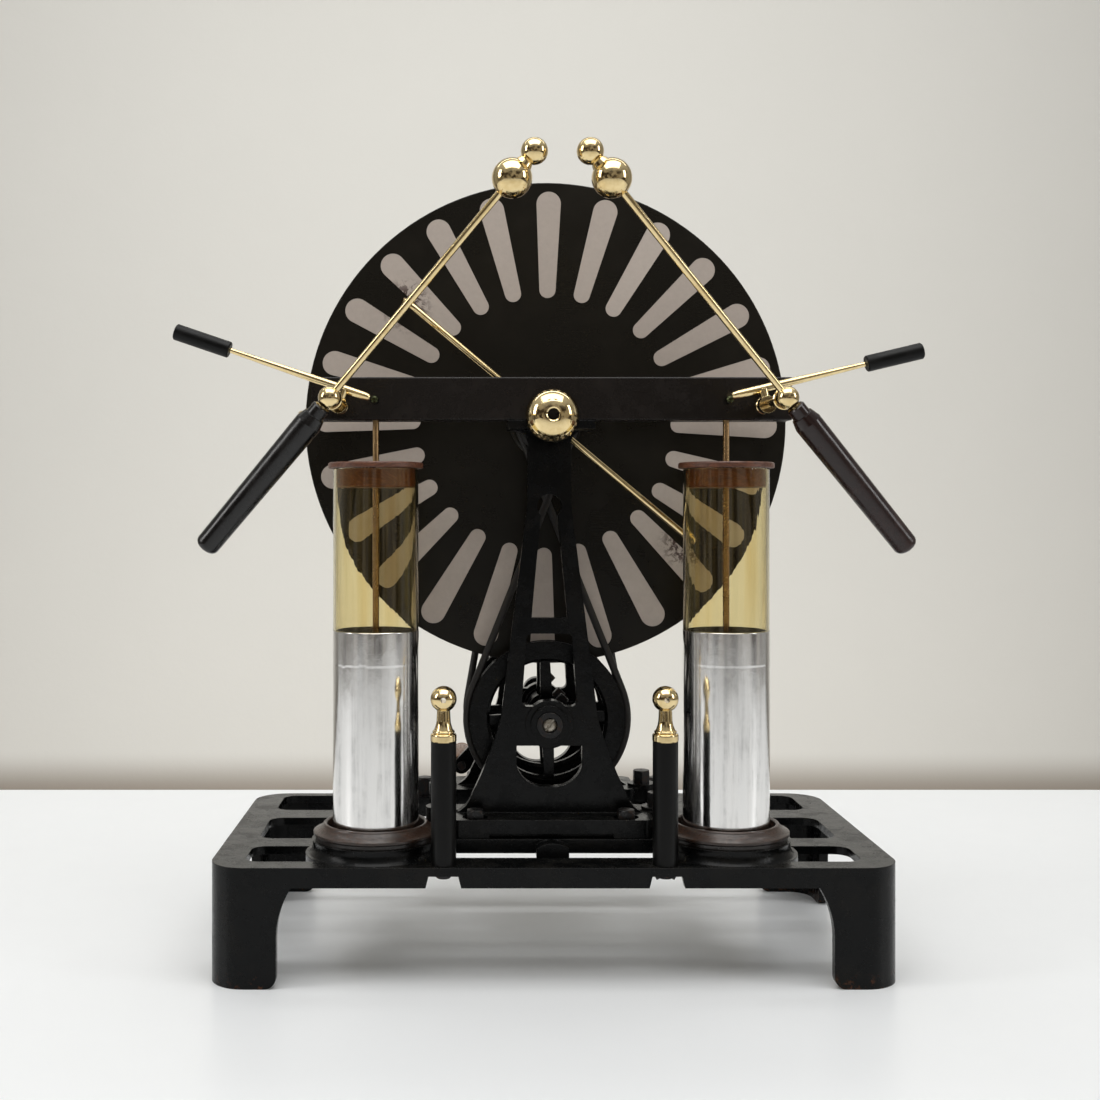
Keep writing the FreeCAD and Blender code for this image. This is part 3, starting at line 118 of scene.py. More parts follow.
def axes(tree, vector):
    return put(tree, "ShaderNodeSeparateXYZ", {"Vector": vector}).outputs


def softEdges(tree, radius):
    return put(tree, "ShaderNodeBevel", {"Radius": radius}, samples=4).outputs[0]


def bump(tree, height, distance, strength=1.0, base=None):
    node = put(tree, "ShaderNodeBump", {"Height": height, "Distance": distance, "Strength": strength})
    if base is not None:
        tree.links.new(base, node.inputs["Normal"])
    return node.outputs[0]


def startGroup(name, inputs, outputs):
    tree = bpy.data.node_groups.new(name, "ShaderNodeTree")
    for label, value in inputs.items():
        kind = "NodeSocketFloat" if isinstance(value, float) else "NodeSocketVector"
        tree.interface.new_socket(label, in_out="INPUT", socket_type=kind).default_value = value
    for label in outputs:
        tree.interface.new_socket(label, in_out="OUTPUT", socket_type="NodeSocketFloat")
    start, end = tree.nodes.new("NodeGroupInput"), tree.nodes.new("NodeGroupOutput")
    return tree, start.outputs, end.inputs


# Effects that several finishes share

edgeWearLook = {
    "turned": (0.985, 0.86),  # cosine of the angle that the rounded normal has turned
    "patchDetail": (5.0, 0.65),
    "patches": (0.42, 0.62),
}


def makeEdgeWear():
    inputs = {"Width": 0.0006, "Breakup": 300.0, "Strength": 1.0}
    tree, ins, outs = startGroup("edgeWear", inputs, ["Mask"])
    straight = put(tree, "ShaderNodeNewGeometry").outputs["Normal"]
    facing = vectorMath(tree, "DOT_PRODUCT", softEdges(tree, ins["Width"]), straight)["Value"]
    edge = spread(tree, facing, *edgeWearLook["turned"])
    patches = noiseAt(tree, ownPlace(tree), ins["Breakup"], *edgeWearLook["patchDetail"])
    kept = calc(tree, "MULTIPLY", edge, spread(tree, patches, *edgeWearLook["patches"]))
    plug(tree, outs["Mask"], calc(tree, "MULTIPLY", kept, ins["Strength"], clamp=True))
    return tree


mottleLook = {"broadDetail": (4.0, 0.6, 0.4), "fineScale": 5.3, "fineDetail": 3.0, "fineShare": 0.3}


def makeMottle():
    tree, ins, outs = startGroup("mottle", {"Scale": 40.0, "Contrast": 1.0}, ["Value"])
    place = ownPlace(tree)
    share = mottleLook["fineShare"]
    broad = noiseAt(tree, place, ins["Scale"], *mottleLook["broadDetail"])
    fineScale = calc(tree, "MULTIPLY", ins["Scale"], mottleLook["fineScale"])
    fine = calc(tree, "MULTIPLY", noiseAt(tree, place, fineScale, mottleLook["fineDetail"]), share)
    both = calc(tree, "ADD", calc(tree, "MULTIPLY", broad, 1 - share), fine)
    away = calc(tree, "SUBTRACT", both, 0.5)
    plug(tree, outs["Value"], calc(tree, "MULTIPLY_ADD", away, ins["Contrast"], 0.5, clamp=True))
    return tree


scratchLook = {
    "turns": ((0.3, 0.9, 0.2), (1.2, 0.1, 2.1), (2.0, 2.4, 0.7)),  # radians, for each set of lines
    "stretch": (1.0, 26.0, 26.0),
    "lineDetail": (2.0, 0.5, 0.25),
    "width": 0.012,
    "gapScale": 0.5,
    "gapDetail": 2.0,
    "gaps": (0.45, 0.65),
}


def makeScratches():
    tree, ins, outs = startGroup("scratches", {"Scale": 60.0, "Amount": 0.5}, ["Mask"])
    place = ownPlace(tree)
    total = None
    for turn in scratchLook["turns"]:
        along = stretched(tree, place, scratchLook["stretch"], turn)
        line = noiseAt(tree, along, ins["Scale"], *scratchLook["lineDetail"])
        away = calc(tree, "ABSOLUTE", calc(tree, "SUBTRACT", line, 0.5))
        mask = spread(tree, away, scratchLook["width"], 0.0)
        total = mask if total is None else calc(tree, "MAXIMUM", total, mask)
    gapScale = calc(tree, "MULTIPLY", ins["Scale"], scratchLook["gapScale"])
    gaps = spread(tree, noiseAt(tree, place, gapScale, scratchLook["gapDetail"]), *scratchLook["gaps"])
    kept = calc(tree, "MULTIPLY", total, gaps)
    plug(tree, outs["Mask"], calc(tree, "MULTIPLY", kept, ins["Amount"], clamp=True))
    return tree


dustLook = {"level": (0.55, 0.98), "patchDetail": (6.0, 0.7), "patches": (0.38, 0.72)}


def makeDust():
    tree, ins, outs = startGroup("dust", {"Amount": 0.5, "Scale": 90.0}, ["Mask"])
    normal = put(tree, "ShaderNodeNewGeometry").outputs["Normal"]
    flat = spread(tree, axes(tree, normal)["Z"], *dustLook["level"])
    patches = noiseAt(tree, ownPlace(tree), ins["Scale"], *dustLook["patchDetail"])
    kept = calc(tree, "MULTIPLY", flat, spread(tree, patches, *dustLook["patches"]))
    plug(tree, outs["Mask"], calc(tree, "MULTIPLY", kept, ins["Amount"], clamp=True))
    return tree


grainLook = {
    "ringScale": 0.5,
    "ringDetail": (2.0, 0.5, 1.2),
    "bands": 7.0,
    "bandShare": 1.1,
    "ringShare": 0.5,
    "poreScale": 6.0,
    "poreDetail": (2.0, 0.6),
    "pores": (0.5, 0.68),
}


def makeWoodGrain():
    inputs = {"Stretch": (1.0, 1.0, 0.1), "Scale": 220.0}
    tree, ins, outs = startGroup("woodGrain", inputs, ["Figure", "Pores"])
    place = vectorMath(tree, "MULTIPLY", ownPlace(tree), ins["Stretch"])["Vector"]
    ringScale = calc(tree, "MULTIPLY", ins["Scale"], grainLook["ringScale"])
    rings = noiseAt(tree, place, ringScale, *grainLook["ringDetail"])
    bands = calc(tree, "FRACT", calc(tree, "MULTIPLY", rings, grainLook["bands"]))
    soft = calc(tree, "MULTIPLY", calc(tree, "PINGPONG", bands, 0.5), grainLook["bandShare"])
    figure = calc(tree, "ADD", soft, calc(tree, "MULTIPLY", rings, grainLook["ringShare"]), clamp=True)
    poreScale = calc(tree, "MULTIPLY", ins["Scale"], grainLook["poreScale"])
    pores = noiseAt(tree, place, poreScale, *grainLook["poreDetail"])
    plug(tree, outs["Figure"], figure)
    plug(tree, outs["Pores"], spread(tree, pores, *grainLook["pores"]))
    return tree


creaseLook = {"cells": ((1.0, 0.6), (2.7, 0.3)), "fineScale": 6.0, "fineDetail": 3.0, "fineHeight": 0.1}


def makeCrease():
    inputs = {"Scale": 120.0, "Stretch": (1.0, 1.0, 0.35)}
    tree, ins, outs = startGroup("crease", inputs, ["Height"])
    place = vectorMath(tree, "MULTIPLY", ownPlace(tree), ins["Stretch"])["Vector"]
    fineScale = calc(tree, "MULTIPLY", ins["Scale"], creaseLook["fineScale"])
    fine = noiseAt(tree, place, fineScale, creaseLook["fineDetail"])
    total = calc(tree, "MULTIPLY", fine, creaseLook["fineHeight"])
    for share, weight in creaseLook["cells"]:
        sockets = {"Vector": place, "Scale": calc(tree, "MULTIPLY", ins["Scale"], share)}
        cells = put(tree, "ShaderNodeTexVoronoi", sockets, feature="F1").outputs["Distance"]
        total = calc(tree, "MULTIPLY_ADD", cells, weight, total)
    plug(tree, outs["Height"], total)
    return tree


groups = {
    "edgeWear": makeEdgeWear(),
    "mottle": makeMottle(),
    "scratches": makeScratches(),
    "dust": makeDust(),
    "woodGrain": makeWoodGrain(),
    "crease": makeCrease(),
}
print("shader groups ready:", ", ".join(groups))


def effect(tree, name, output, **values):
    node = put(tree, "ShaderNodeGroup", node_tree=groups[name])
    for label, value in values.items():
        node.inputs[label].default_value = value
    return node.outputs[output]


def mottled(tree, scale, contrast):
    return effect(tree, "mottle", "Value", Scale=scale, Contrast=contrast)


def startMaterial(name):
    material = bpy.data.materials.new(name)
    material.use_nodes = True
    tree = material.node_tree
    shader = tree.nodes["Principled BSDF"]
    return material, tree, shader


def feed(tree, shader, **values):  # an underscore in a name stands for a space
    for label, value in values.items():
        plug(tree, shader.inputs[label.replace("_", " ")], asColour(value))


# Iron and steel

ironLook = {
    "black": (0.0016, 0.0019, 0.0021),
    "brown": (0.0040, 0.0036, 0.0031),
    "worn": (0.034, 0.032, 0.029),
    "rust": (0.060, 0.024, 0.011),
    "dustColour": (0.085, 0.080, 0.070),
    "clouds": (26.0, 2.2),  # scale and contrast of the mottle
    "mix": (0.42, 0.8),     # where it turns from the first colour to the second
    "edge": {"Width": 0.0008, "Breakup": 240.0, "Strength": 0.3},
    "dust": {"Amount": 0.12, "Scale": 45.0},
    "rustTop": 0.014,
    "rustFull": 0.002,
    "rustNoise": (150.0, 6.0, 0.7),
    "rustPatches": (0.52, 0.64),
    "rustHeight": 0.8,
    "bareRough": 0.75,
    "glossClouds": (60.0, 1.8),
    "gloss": (0.20, 0.34),
    "shine": 0.17,
    "skinNoise": (620.0, 5.0, 0.6),
    "skinBump": (0.0003, 0.3),  # distance and strength
    "waveNoise": (70.0, 2.0),
    "waveBump": (0.0008, 0.35),
    "edgeRadius": 0.0009,
}


def japannedIron():
    look = ironLook
    material, tree, shader = startMaterial("japannedIron")
    place = ownPlace(tree)
    clouds = spread(tree, mottled(tree, *look["clouds"]), *look["mix"])
    colour = blendColours(tree, clouds, look["black"], look["brown"])
    worn = effect(tree, "edgeWear", "Mask", **look["edge"])
    colour = blendColours(tree, worn, colour, look["worn"])
    low = spread(tree, axes(tree, place)["Z"], look["rustTop"], look["rustFull"])
    specks = spread(tree, noiseAt(tree, place, *look["rustNoise"]), *look["rustPatches"])
    rust = calc(tree, "MULTIPLY", low, specks)
    colour = blendColours(tree, rust, colour, look["rust"])
    dusty = effect(tree, "dust", "Mask", **look["dust"])
    colour = blendColours(tree, dusty, colour, look["dustColour"])
    rough = spread(tree, mottled(tree, *look["glossClouds"]), 0.3, 0.8, *look["gloss"])
    bare = calc(tree, "MULTIPLY", calc(tree, "ADD", rust, worn), look["bareRough"])
    rough = calc(tree, "MAXIMUM", rough, bare)
    raised = calc(tree, "MULTIPLY", rust, look["rustHeight"])
    skin = calc(tree, "ADD", noiseAt(tree, place, *look["skinNoise"]), raised)
    normal = bump(tree, skin, *look["skinBump"], softEdges(tree, look["edgeRadius"]))
    normal = bump(tree, noiseAt(tree, place, *look["waveNoise"]), *look["waveBump"], normal)
    feed(tree, shader, Base_Color=colour, Roughness=rough, Normal=normal)
    feed(tree, shader, IOR=1.5, Specular_IOR_Level=look["shine"])
    return material


steelLook = {
    "blackened": {"body": (0.012, 0.012, 0.0125), "patch": (0.035, 0.018, 0.011)},
    "worn": {"body": (0.34, 0.31, 0.26), "patch": (0.15, 0.12, 0.085)},
    "metal": {"blackened": 0.45, "worn": 1.0},
    "gloss": {"blackened": 0.26, "worn": 0.24},
    "bare": (0.20, 0.185, 0.165),
    "clouds": (180.0, 2.4),
    "mix": (0.5, 0.85),
    "edge": {"Width": 0.0005, "Breakup": 520.0, "Strength": 0.8},
    "glossRange": 0.28,
    "bareMetal": 0.5,
    "skinNoise": (1500.0, 4.0),
    "skinBump": (0.00012, 0.6),
    "edgeRadius": 0.0004,
}


def steel(kind):
    look, own = steelLook, steelLook[kind]
    gloss = look["gloss"][kind]
    material, tree, shader = startMaterial("steel_" + kind)
    patches = mottled(tree, *look["clouds"])
    colour = blendColours(tree, spread(tree, patches, *look["mix"]), own["body"], own["patch"])
    worn = effect(tree, "edgeWear", "Mask", **look["edge"])
    colour = blendColours(tree, worn, colour, look["bare"])
    rough = spread(tree, patches, 0.2, 0.8, gloss, gloss + look["glossRange"])
    metal = calc(tree, "MULTIPLY_ADD", worn, look["bareMetal"], look["metal"][kind], clamp=True)
    skin = noiseAt(tree, ownPlace(tree), *look["skinNoise"])
    normal = bump(tree, skin, *look["skinBump"], softEdges(tree, look["edgeRadius"]))
    feed(tree, shader, Base_Color=colour, Roughness=rough, Metallic=metal, Normal=normal)
    return material


# Brass

brassLook = {
    "polished": (0.80, 0.64, 0.35),
    "deep": (0.66, 0.49, 0.23),
    "tarnish": (0.20, 0.13, 0.06),
    "clouds": (55.0, 2.0),
    "mix": (0.35, 0.95),
    "scratches": {"Scale": 150.0, "Amount": 0.4},
    "scratchRough": 0.12,
    "scratchBump": (0.00003, 0.35),
    "spotNoise": (420.0, 6.0, 0.7),
    "spots": (0.66, 0.74),
    "spotShade": 0.5,
    "gloss": (0.045, 0.12),
    "edgeRadius": 0.00035,
}


def polishedBrass():
    look = brassLook
    material, tree, shader = startMaterial("polishedBrass")
    film = mottled(tree, *look["clouds"])
    colour = blendColours(tree, spread(tree, film, *look["mix"]), look["polished"], look["deep"])
    lines = effect(tree, "scratches", "Mask", **look["scratches"])
    spots = spread(tree, noiseAt(tree, ownPlace(tree), *look["spotNoise"]), *look["spots"])
    spots = calc(tree, "MULTIPLY", spots, look["spotShade"])
    colour = blendColours(tree, spots, colour, look["tarnish"])
    rough = spread(tree, film, 0.2, 0.9, *look["gloss"])
    rough = calc(tree, "MULTIPLY_ADD", lines, look["scratchRough"], rough)
    normal = bump(tree, lines, *look["scratchBump"], softEdges(tree, look["edgeRadius"]))
    feed(tree, shader, Base_Color=colour, Roughness=rough, Metallic=1.0, Normal=normal)
    return material


agedLook = {
    "aged": (0.58, 0.38, 0.19),
    "green": (0.045, 0.050, 0.024),
    "clouds": (26.0, 1.5),
    "mix": (0.35, 0.95),
    "edge": {"Width": 0.0004, "Breakup": 400.0, "Strength": 0.6},
    "studFrom": 0.0003,
    "gloss": (0.20, 0.34),
    "skinNoise": (900.0, 3.0),
    "skinBump": (0.00004, 0.3),
    "edgeRadius": 0.0003,
}


def agedBrass():
    look = agedLook
    material, tree, shader = startMaterial("agedBrass")
    place = ownPlace(tree)
    film = mottled(tree, *look["clouds"])
    colour = blendColours(tree, spread(tree, film, *look["mix"]), look["aged"], brassLook["tarnish"])
    worn = effect(tree, "edgeWear", "Mask", **look["edge"])
    colour = blendColours(tree, worn, colour, brassLook["deep"])
    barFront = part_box("cross_bar")[0].y + look["studFrom"]
    stud = calc(tree, "LESS_THAN", axes(tree, place)["Y"], barFront)  # the end in front of the bar
    colour = blendColours(tree, stud, colour, look["green"])
    rough = spread(tree, film, 0.25, 0.8, *look["gloss"])
    skin = noiseAt(tree, place, *look["skinNoise"])
    normal = bump(tree, skin, *look["skinBump"], softEdges(tree, look["edgeRadius"]))
    feed(tree, shader, Base_Color=colour, Roughness=rough, Metallic=1.0, Normal=normal)
    return material


# Ebonite: the bar, the handles, the posts and the discs

eboniteLook = {
    "bar": {"body": (0.0066, 0.0048, 0.0040), "bloom": (0.0098, 0.0068, 0.0054)},
    "post": {"body": (0.0016, 0.0016, 0.0015), "bloom": (0.0036, 0.0033, 0.0029)},
    "black": {"body": (0.0032, 0.0026, 0.0025), "bloom": (0.0060, 0.0044, 0.0038)},
    "brown": {"body": (0.0120, 0.0040, 0.0031), "bloom": (0.0220, 0.0072, 0.0052)},
    "gloss": {"bar": 0.20, "post": 0.32, "black": 0.17, "brown": 0.16},
    "shine": {"bar": 0.24, "post": 0.15, "black": 0.3, "brown": 0.3},
    "coat": {"bar": 0.0, "post": 0.0, "black": 0.08, "brown": 0.1},
    "coatRough": 0.08,
    "clouds": (34.0, 2.4),
    "mix": (0.45, 0.95),
    "scratches": {"Scale": 90.0, "Amount": 0.7},
    "scratchShade": 0.3,
    "scratchRough": 0.2,
    "scratchBump": (0.00006, -0.5),
    "edge": {"Width": 0.0007, "Breakup": 350.0, "Strength": 0.6},
    "glossRange": 0.16,
    "waveNoise": (120.0, 2.0),
    "waveBump": (0.00035, 0.5),
    "edgeRadius": 0.0006,
}


def ebonite(shade):
    look, own = eboniteLook, eboniteLook[shade]
    gloss = look["gloss"][shade]
    material, tree, shader = startMaterial("ebonite_" + shade)
    bloom = mottled(tree, *look["clouds"])
    colour = blendColours(tree, spread(tree, bloom, *look["mix"]), own["body"], own["bloom"])
    lines = effect(tree, "scratches", "Mask", **look["scratches"])
    worn = effect(tree, "edgeWear", "Mask", **look["edge"])
    grey = calc(tree, "MAXIMUM", calc(tree, "MULTIPLY", lines, look["scratchShade"]), worn)
    colour = blendColours(tree, grey, colour, own["bloom"])
    rough = spread(tree, bloom, 0.2, 0.9, gloss, gloss + look["glossRange"])
    rough = calc(tree, "MULTIPLY_ADD", lines, look["scratchRough"], rough)
    normal = bump(tree, lines, *look["scratchBump"], softEdges(tree, look["edgeRadius"]))
    waves = noiseAt(tree, ownPlace(tree), *look["waveNoise"])
    normal = bump(tree, waves, *look["waveBump"], normal)
    feed(tree, shader, Base_Color=colour, Roughness=rough, Normal=normal, IOR=1.6)
    feed(tree, shader, Specular_IOR_Level=look["shine"][shade])
    feed(tree, shader, Coat_Weight=look["coat"][shade], Coat_Roughness=look["coatRough"])
    return material


discLook = {
    "body": (0.0066, 0.0054, 0.0034),
    "bloom": (0.0105, 0.0084, 0.0052),
    "line": (0.034, 0.028, 0.019),
    "clouds": (14.0, 2.6),
    "mix": (0.4, 0.95),
    "ringNoise": (900.0, 2.0, 0.7),
    "ringMix": (0.3, 0.75, 0.4, 1.0),
    "ringBump": (0.00004, 0.35),
    "scratches": {"Scale": 34.0, "Amount": 0.4},
    "scratchShade": 0.3,
    "scratchRough": 0.15,
    "gloss": (0.26, 0.36),
    "shine": 0.24,
    "waveNoise": (9.0, 2.0),
    "waveBump": (0.0025, 0.3),
    "edgeRadius": 0.0004,
}
axleHeight = joints["front_disc_spin"]["pos_m"][2]


def discEbonite():
    look = discLook
    material, tree, shader = startMaterial("discEbonite")
    place = ownPlace(tree)
    centred = vectorMath(tree, "SUBTRACT", place, (0, 0, axleHeight))["Vector"]
    radius = vectorMath(tree, "LENGTH", vectorMath(tree, "MULTIPLY", centred, (1, 0, 1))["Vector"])
    ringPlace = put(tree, "ShaderNodeCombineXYZ", {"X": radius["Value"]}).outputs[0]
    rings = noiseAt(tree, ringPlace, *look["ringNoise"])
    bloom = mottled(tree, *look["clouds"])
    smear = spread(tree, bloom, *look["mix"])
    smear = calc(tree, "MULTIPLY", smear, spread(tree, rings, *look["ringMix"]))
    colour = blendColours(tree, smear, look["body"], look["bloom"])
    lines = effect(tree, "scratches", "Mask", **look["scratches"])
    pale = calc(tree, "MULTIPLY", lines, look["scratchShade"])
    colour = blendColours(tree, pale, colour, look["line"])
    rough = spread(tree, bloom, 0.2, 0.9, *look["gloss"])
    rough = calc(tree, "MULTIPLY_ADD", lines, look["scratchRough"], rough)
    normal = bump(tree, rings, *look["ringBump"], softEdges(tree, look["edgeRadius"]))
    normal = bump(tree, noiseAt(tree, place, *look["waveNoise"]), *look["waveBump"], normal)
    feed(tree, shader, Base_Color=colour, Roughness=rough, Normal=normal)
    feed(tree, shader, Specular_IOR_Level=look["shine"])
    return material


# Foil: the sectors and the coatings of the jars

sectorLook = {
    "pale": (0.58, 0.51, 0.455),
    "dark": (0.43, 0.37, 0.325),
    "stain": (0.070, 0.040, 0.034),
    "stainSpots": ((-0.1165, 0.0975), (0.1165, -0.0995)),  # from the axle, where brushes have rubbed
    "stainSize": 0.026,
    "stainCore": 0.4,
    "stainRough": 0.25,
    "stainMetal": -0.2,
    "flakeNoise": (190.0, 7.0, 0.75, 0.8),
    "flakes": (0.48, 0.56),
    "count": 24,
    "clouds": (52.0, 2.0),
    "cloudShade": 0.6,
    "ownShade": 0.45,
    "gloss": (0.33, 0.55),
    "metal": 0.22,
    "creases": {"Scale": 150.0, "Stretch": (1.0, 1.0, 1.0)},
    "creaseBump": (0.00022, 0.55),
}


def tinSector():
    look = sectorLook
    material, tree, shader = startMaterial("tinSector")
    place = ownPlace(tree)
    parts = axes(tree, place)
    height = calc(tree, "SUBTRACT", parts["Z"], axleHeight)
    angle = calc(tree, "ARCTAN2", height, parts["X"])
    turn = calc(tree, "ROUND", calc(tree, "MULTIPLY", angle, look["count"] / (2 * math.pi)))
    own = put(tree, "ShaderNodeTexWhiteNoise", {"W": turn}, noise_dimensions="1D").outputs["Value"]
    cloud = mottled(tree, *look["clouds"])
    shade = calc(tree, "MULTIPLY", cloud, look["cloudShade"])
    shade = calc(tree, "MULTIPLY_ADD", own, look["ownShade"], shade, clamp=True)
    colour = blendColours(tree, shade, look["pale"], look["dark"])
    flakes = spread(tree, noiseAt(tree, place, *look["flakeNoise"]), *look["flakes"])
    flatPlace = put(tree, "ShaderNodeCombineXYZ", {"X": parts["X"], "Z": height}).outputs[0]
    size = look["stainSize"]
    stain = None
    for x, z in look["stainSpots"]:
        away = vectorMath(tree, "DISTANCE", flatPlace, (x, 0, z))["Value"]
        spot = calc(tree, "MULTIPLY", spread(tree, away, size, size * look["stainCore"]), flakes)
        stain = spot if stain is None else calc(tree, "MAXIMUM", stain, spot)
    colour = blendColours(tree, stain, colour, look["stain"])
    rough = spread(tree, cloud, 0.1, 0.9, *look["gloss"])
    rough = calc(tree, "MULTIPLY_ADD", stain, look["stainRough"], rough)
    metal = calc(tree, "MULTIPLY_ADD", stain, look["stainMetal"], look["metal"])
    normal = bump(tree, effect(tree, "crease", "Height", **look["creases"]), *look["creaseBump"])
    feed(tree, shader, Base_Color=colour, Roughness=rough, Metallic=metal, Normal=normal)
    return material


foilLook = {
    "bright": (0.88, 0.87, 0.855),
    "grey": (0.64, 0.635, 0.625),
    "streakStretch": (1.0, 1.0, 0.06),
    "streakNoise": (160.0, 4.0, 0.6),
    "streaks": (0.45, 0.7),
    "clouds": (70.0, 2.4),
    "mix": (0.3, 0.8, 0.3, 1.0),
    "gloss": (0.3, 0.75, 0.09, 0.18),
    "cloudRough": 0.06,
    "creases": {"Scale": 90.0, "Stretch": (1.0, 1.0, 0.3)},
    "creaseBump": (0.00012, 0.14),
    "skinNoise": (700.0, 4.0, 0.6),
    "skinBump": (0.00006, 0.22),
}


def jarFoil():
    look = foilLook
    material, tree, shader = startMaterial("jarFoil")
    place = ownPlace(tree)
    streaks = noiseAt(tree, stretched(tree, place, look["streakStretch"]), *look["streakNoise"])
    cloud = mottled(tree, *look["clouds"])
    shade = spread(tree, streaks, *look["streaks"])
    shade = calc(tree, "MULTIPLY", shade, spread(tree, cloud, *look["mix"]))
    colour = blendColours(tree, shade, look["bright"], look["grey"])
    dull = calc(tree, "MULTIPLY", cloud, look["cloudRough"])
    rough = calc(tree, "ADD", spread(tree, streaks, *look["gloss"]), dull)
    normal = bump(tree, effect(tree, "crease", "Height", **look["creases"]), *look["creaseBump"])
    normal = bump(tree, noiseAt(tree, place, *look["skinNoise"]), *look["skinBump"], normal)
    feed(tree, shader, Base_Color=colour, Roughness=rough, Metallic=1.0, Normal=normal)
    return material


# Glass, wood, leather

glassLook = {
    "amber": (0.965, 0.90, 0.67),
    "deep": (0.90, 0.77, 0.46),
    "ior": 1.5,
    "streakStretch": (1.0, 1.0, 0.06),
    "streakNoise": (75.0, 3.0),
    "streaks": (0.48, 0.72),
    "streakBump": (0.0005, 0.35),
    "smearNoise": (60.0, 5.0, 0.7),
    "smears": (0.5, 0.8, 0.01, 0.06),
}


def amberGlass():
    look = glassLook
    material, tree, shader = startMaterial("amberGlass")
    place = ownPlace(tree)
    streaks = noiseAt(tree, stretched(tree, place, look["streakStretch"]), *look["streakNoise"])
    colour = blendColours(tree, spread(tree, streaks, *look["streaks"]), look["amber"], look["deep"])
    rough = spread(tree, noiseAt(tree, place, *look["smearNoise"]), *look["smears"])
    normal = bump(tree, streaks, *look["streakBump"])
    feed(tree, shader, Base_Color=colour, Roughness=rough, Normal=normal)
    feed(tree, shader, IOR=look["ior"], Transmission_Weight=1.0)
    return material


woodLook = {
    "lid": {"light": (0.17, 0.062, 0.030), "dark": (0.050, 0.018, 0.010), "gloss": 0.34},
    "ring": {"light": (0.056, 0.026, 0.014), "dark": (0.009, 0.0055, 0.004), "gloss": 0.26},
    "grip": {"light": (0.20, 0.085, 0.034), "dark": (0.055, 0.022, 0.011), "gloss": 0.32},
    "plug": {"light": (0.25, 0.072, 0.012), "dark": (0.11, 0.032, 0.006)},
    "stretch": {"lid": (0.25, 1.0, 1.0), "ring": (0.25, 1.0, 1.0), "grip": (1.0, 0.12, 1.0)},
    "grain": 150.0,
    "edge": {"Width": 0.0010, "Breakup": 260.0, "Strength": 0.5},
    "plugGap": 0.0002,
    "footDarkening": (0.0065, 0.003),  # heights over the ring's foot, between which the ring is drawn darker downwards
    "poreShade": 0.6,
    "poreRough": 0.25,
    "poreBump": (0.00018, -0.5),
    "glossRange": 0.1,
    "edgeRadius": 0.0008,
    "coat": 0.2,
    "coatRough": 0.22,
}


def wood(kind):
    look, own = woodLook, woodLook[kind]
    material, tree, shader = startMaterial("wood_" + kind)
    grain = {"Stretch": look["stretch"][kind], "Scale": look["grain"]}
    figure = effect(tree, "woodGrain", "Figure", **grain)
    pores = effect(tree, "woodGrain", "Pores", **grain)
    height = axes(tree, ownPlace(tree))["Z"]
    light, dark = own["light"], own["dark"]
    if kind == "lid":  # the plug under the lid's rim is paler, bare wood
        below = calc(tree, "LESS_THAN", height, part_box("left_jar_glass")[1].z - look["plugGap"])
        light = blendColours(tree, below, light, look["plug"]["light"])
        dark = blendColours(tree, below, dark, look["plug"]["dark"])
    colour = blendColours(tree, figure, dark, light)
    worn = effect(tree, "edgeWear", "Mask", **look["edge"])
    colour = blendColours(tree, worn, colour, light)
    if kind == "ring":  # the lower step is drawn darker towards the ring's foot
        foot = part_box("jar_base_rings")[0].z
        above, within = look["footDarkening"]
        colour = blendColours(tree, spread(tree, height, foot + above, foot + within), colour, dark)
    colour = blendColours(tree, calc(tree, "MULTIPLY", pores, look["poreShade"]), colour, dark)
    rough = spread(tree, figure, 0.0, 1.0, own["gloss"] + look["glossRange"], own["gloss"])
    rough = calc(tree, "MULTIPLY_ADD", pores, look["poreRough"], rough)
    normal = bump(tree, pores, *look["poreBump"], softEdges(tree, look["edgeRadius"]))
    feed(tree, shader, Base_Color=colour, Roughness=rough, Normal=normal, IOR=1.5)
    feed(tree, shader, Coat_Weight=look["coat"], Coat_Roughness=look["coatRough"])
    return material


beltLook = {
    "hide": (0.0085, 0.0070, 0.0060),
    "rubbed": (0.020, 0.0155, 0.0120),
    "clouds": (160.0, 2.2),
    "mix": (0.45, 0.9),
    "gloss": (0.45, 0.68),
    "grain": {"Scale": 900.0, "Stretch": (1.0, 1.0, 0.7)},
    "grainBump": (0.0002, 0.7),
}


def beltLeather():
    look = beltLook
    material, tree, shader = startMaterial("beltLeather")
    cloud = mottled(tree, *look["clouds"])
    colour = blendColours(tree, spread(tree, cloud, *look["mix"]), look["hide"], look["rubbed"])
    rough = spread(tree, cloud, 0.2, 0.9, *look["gloss"])
    normal = bump(tree, effect(tree, "crease", "Height", **look["grain"]), *look["grainBump"])
    feed(tree, shader, Base_Color=colour, Roughness=rough, Normal=normal)
    return material


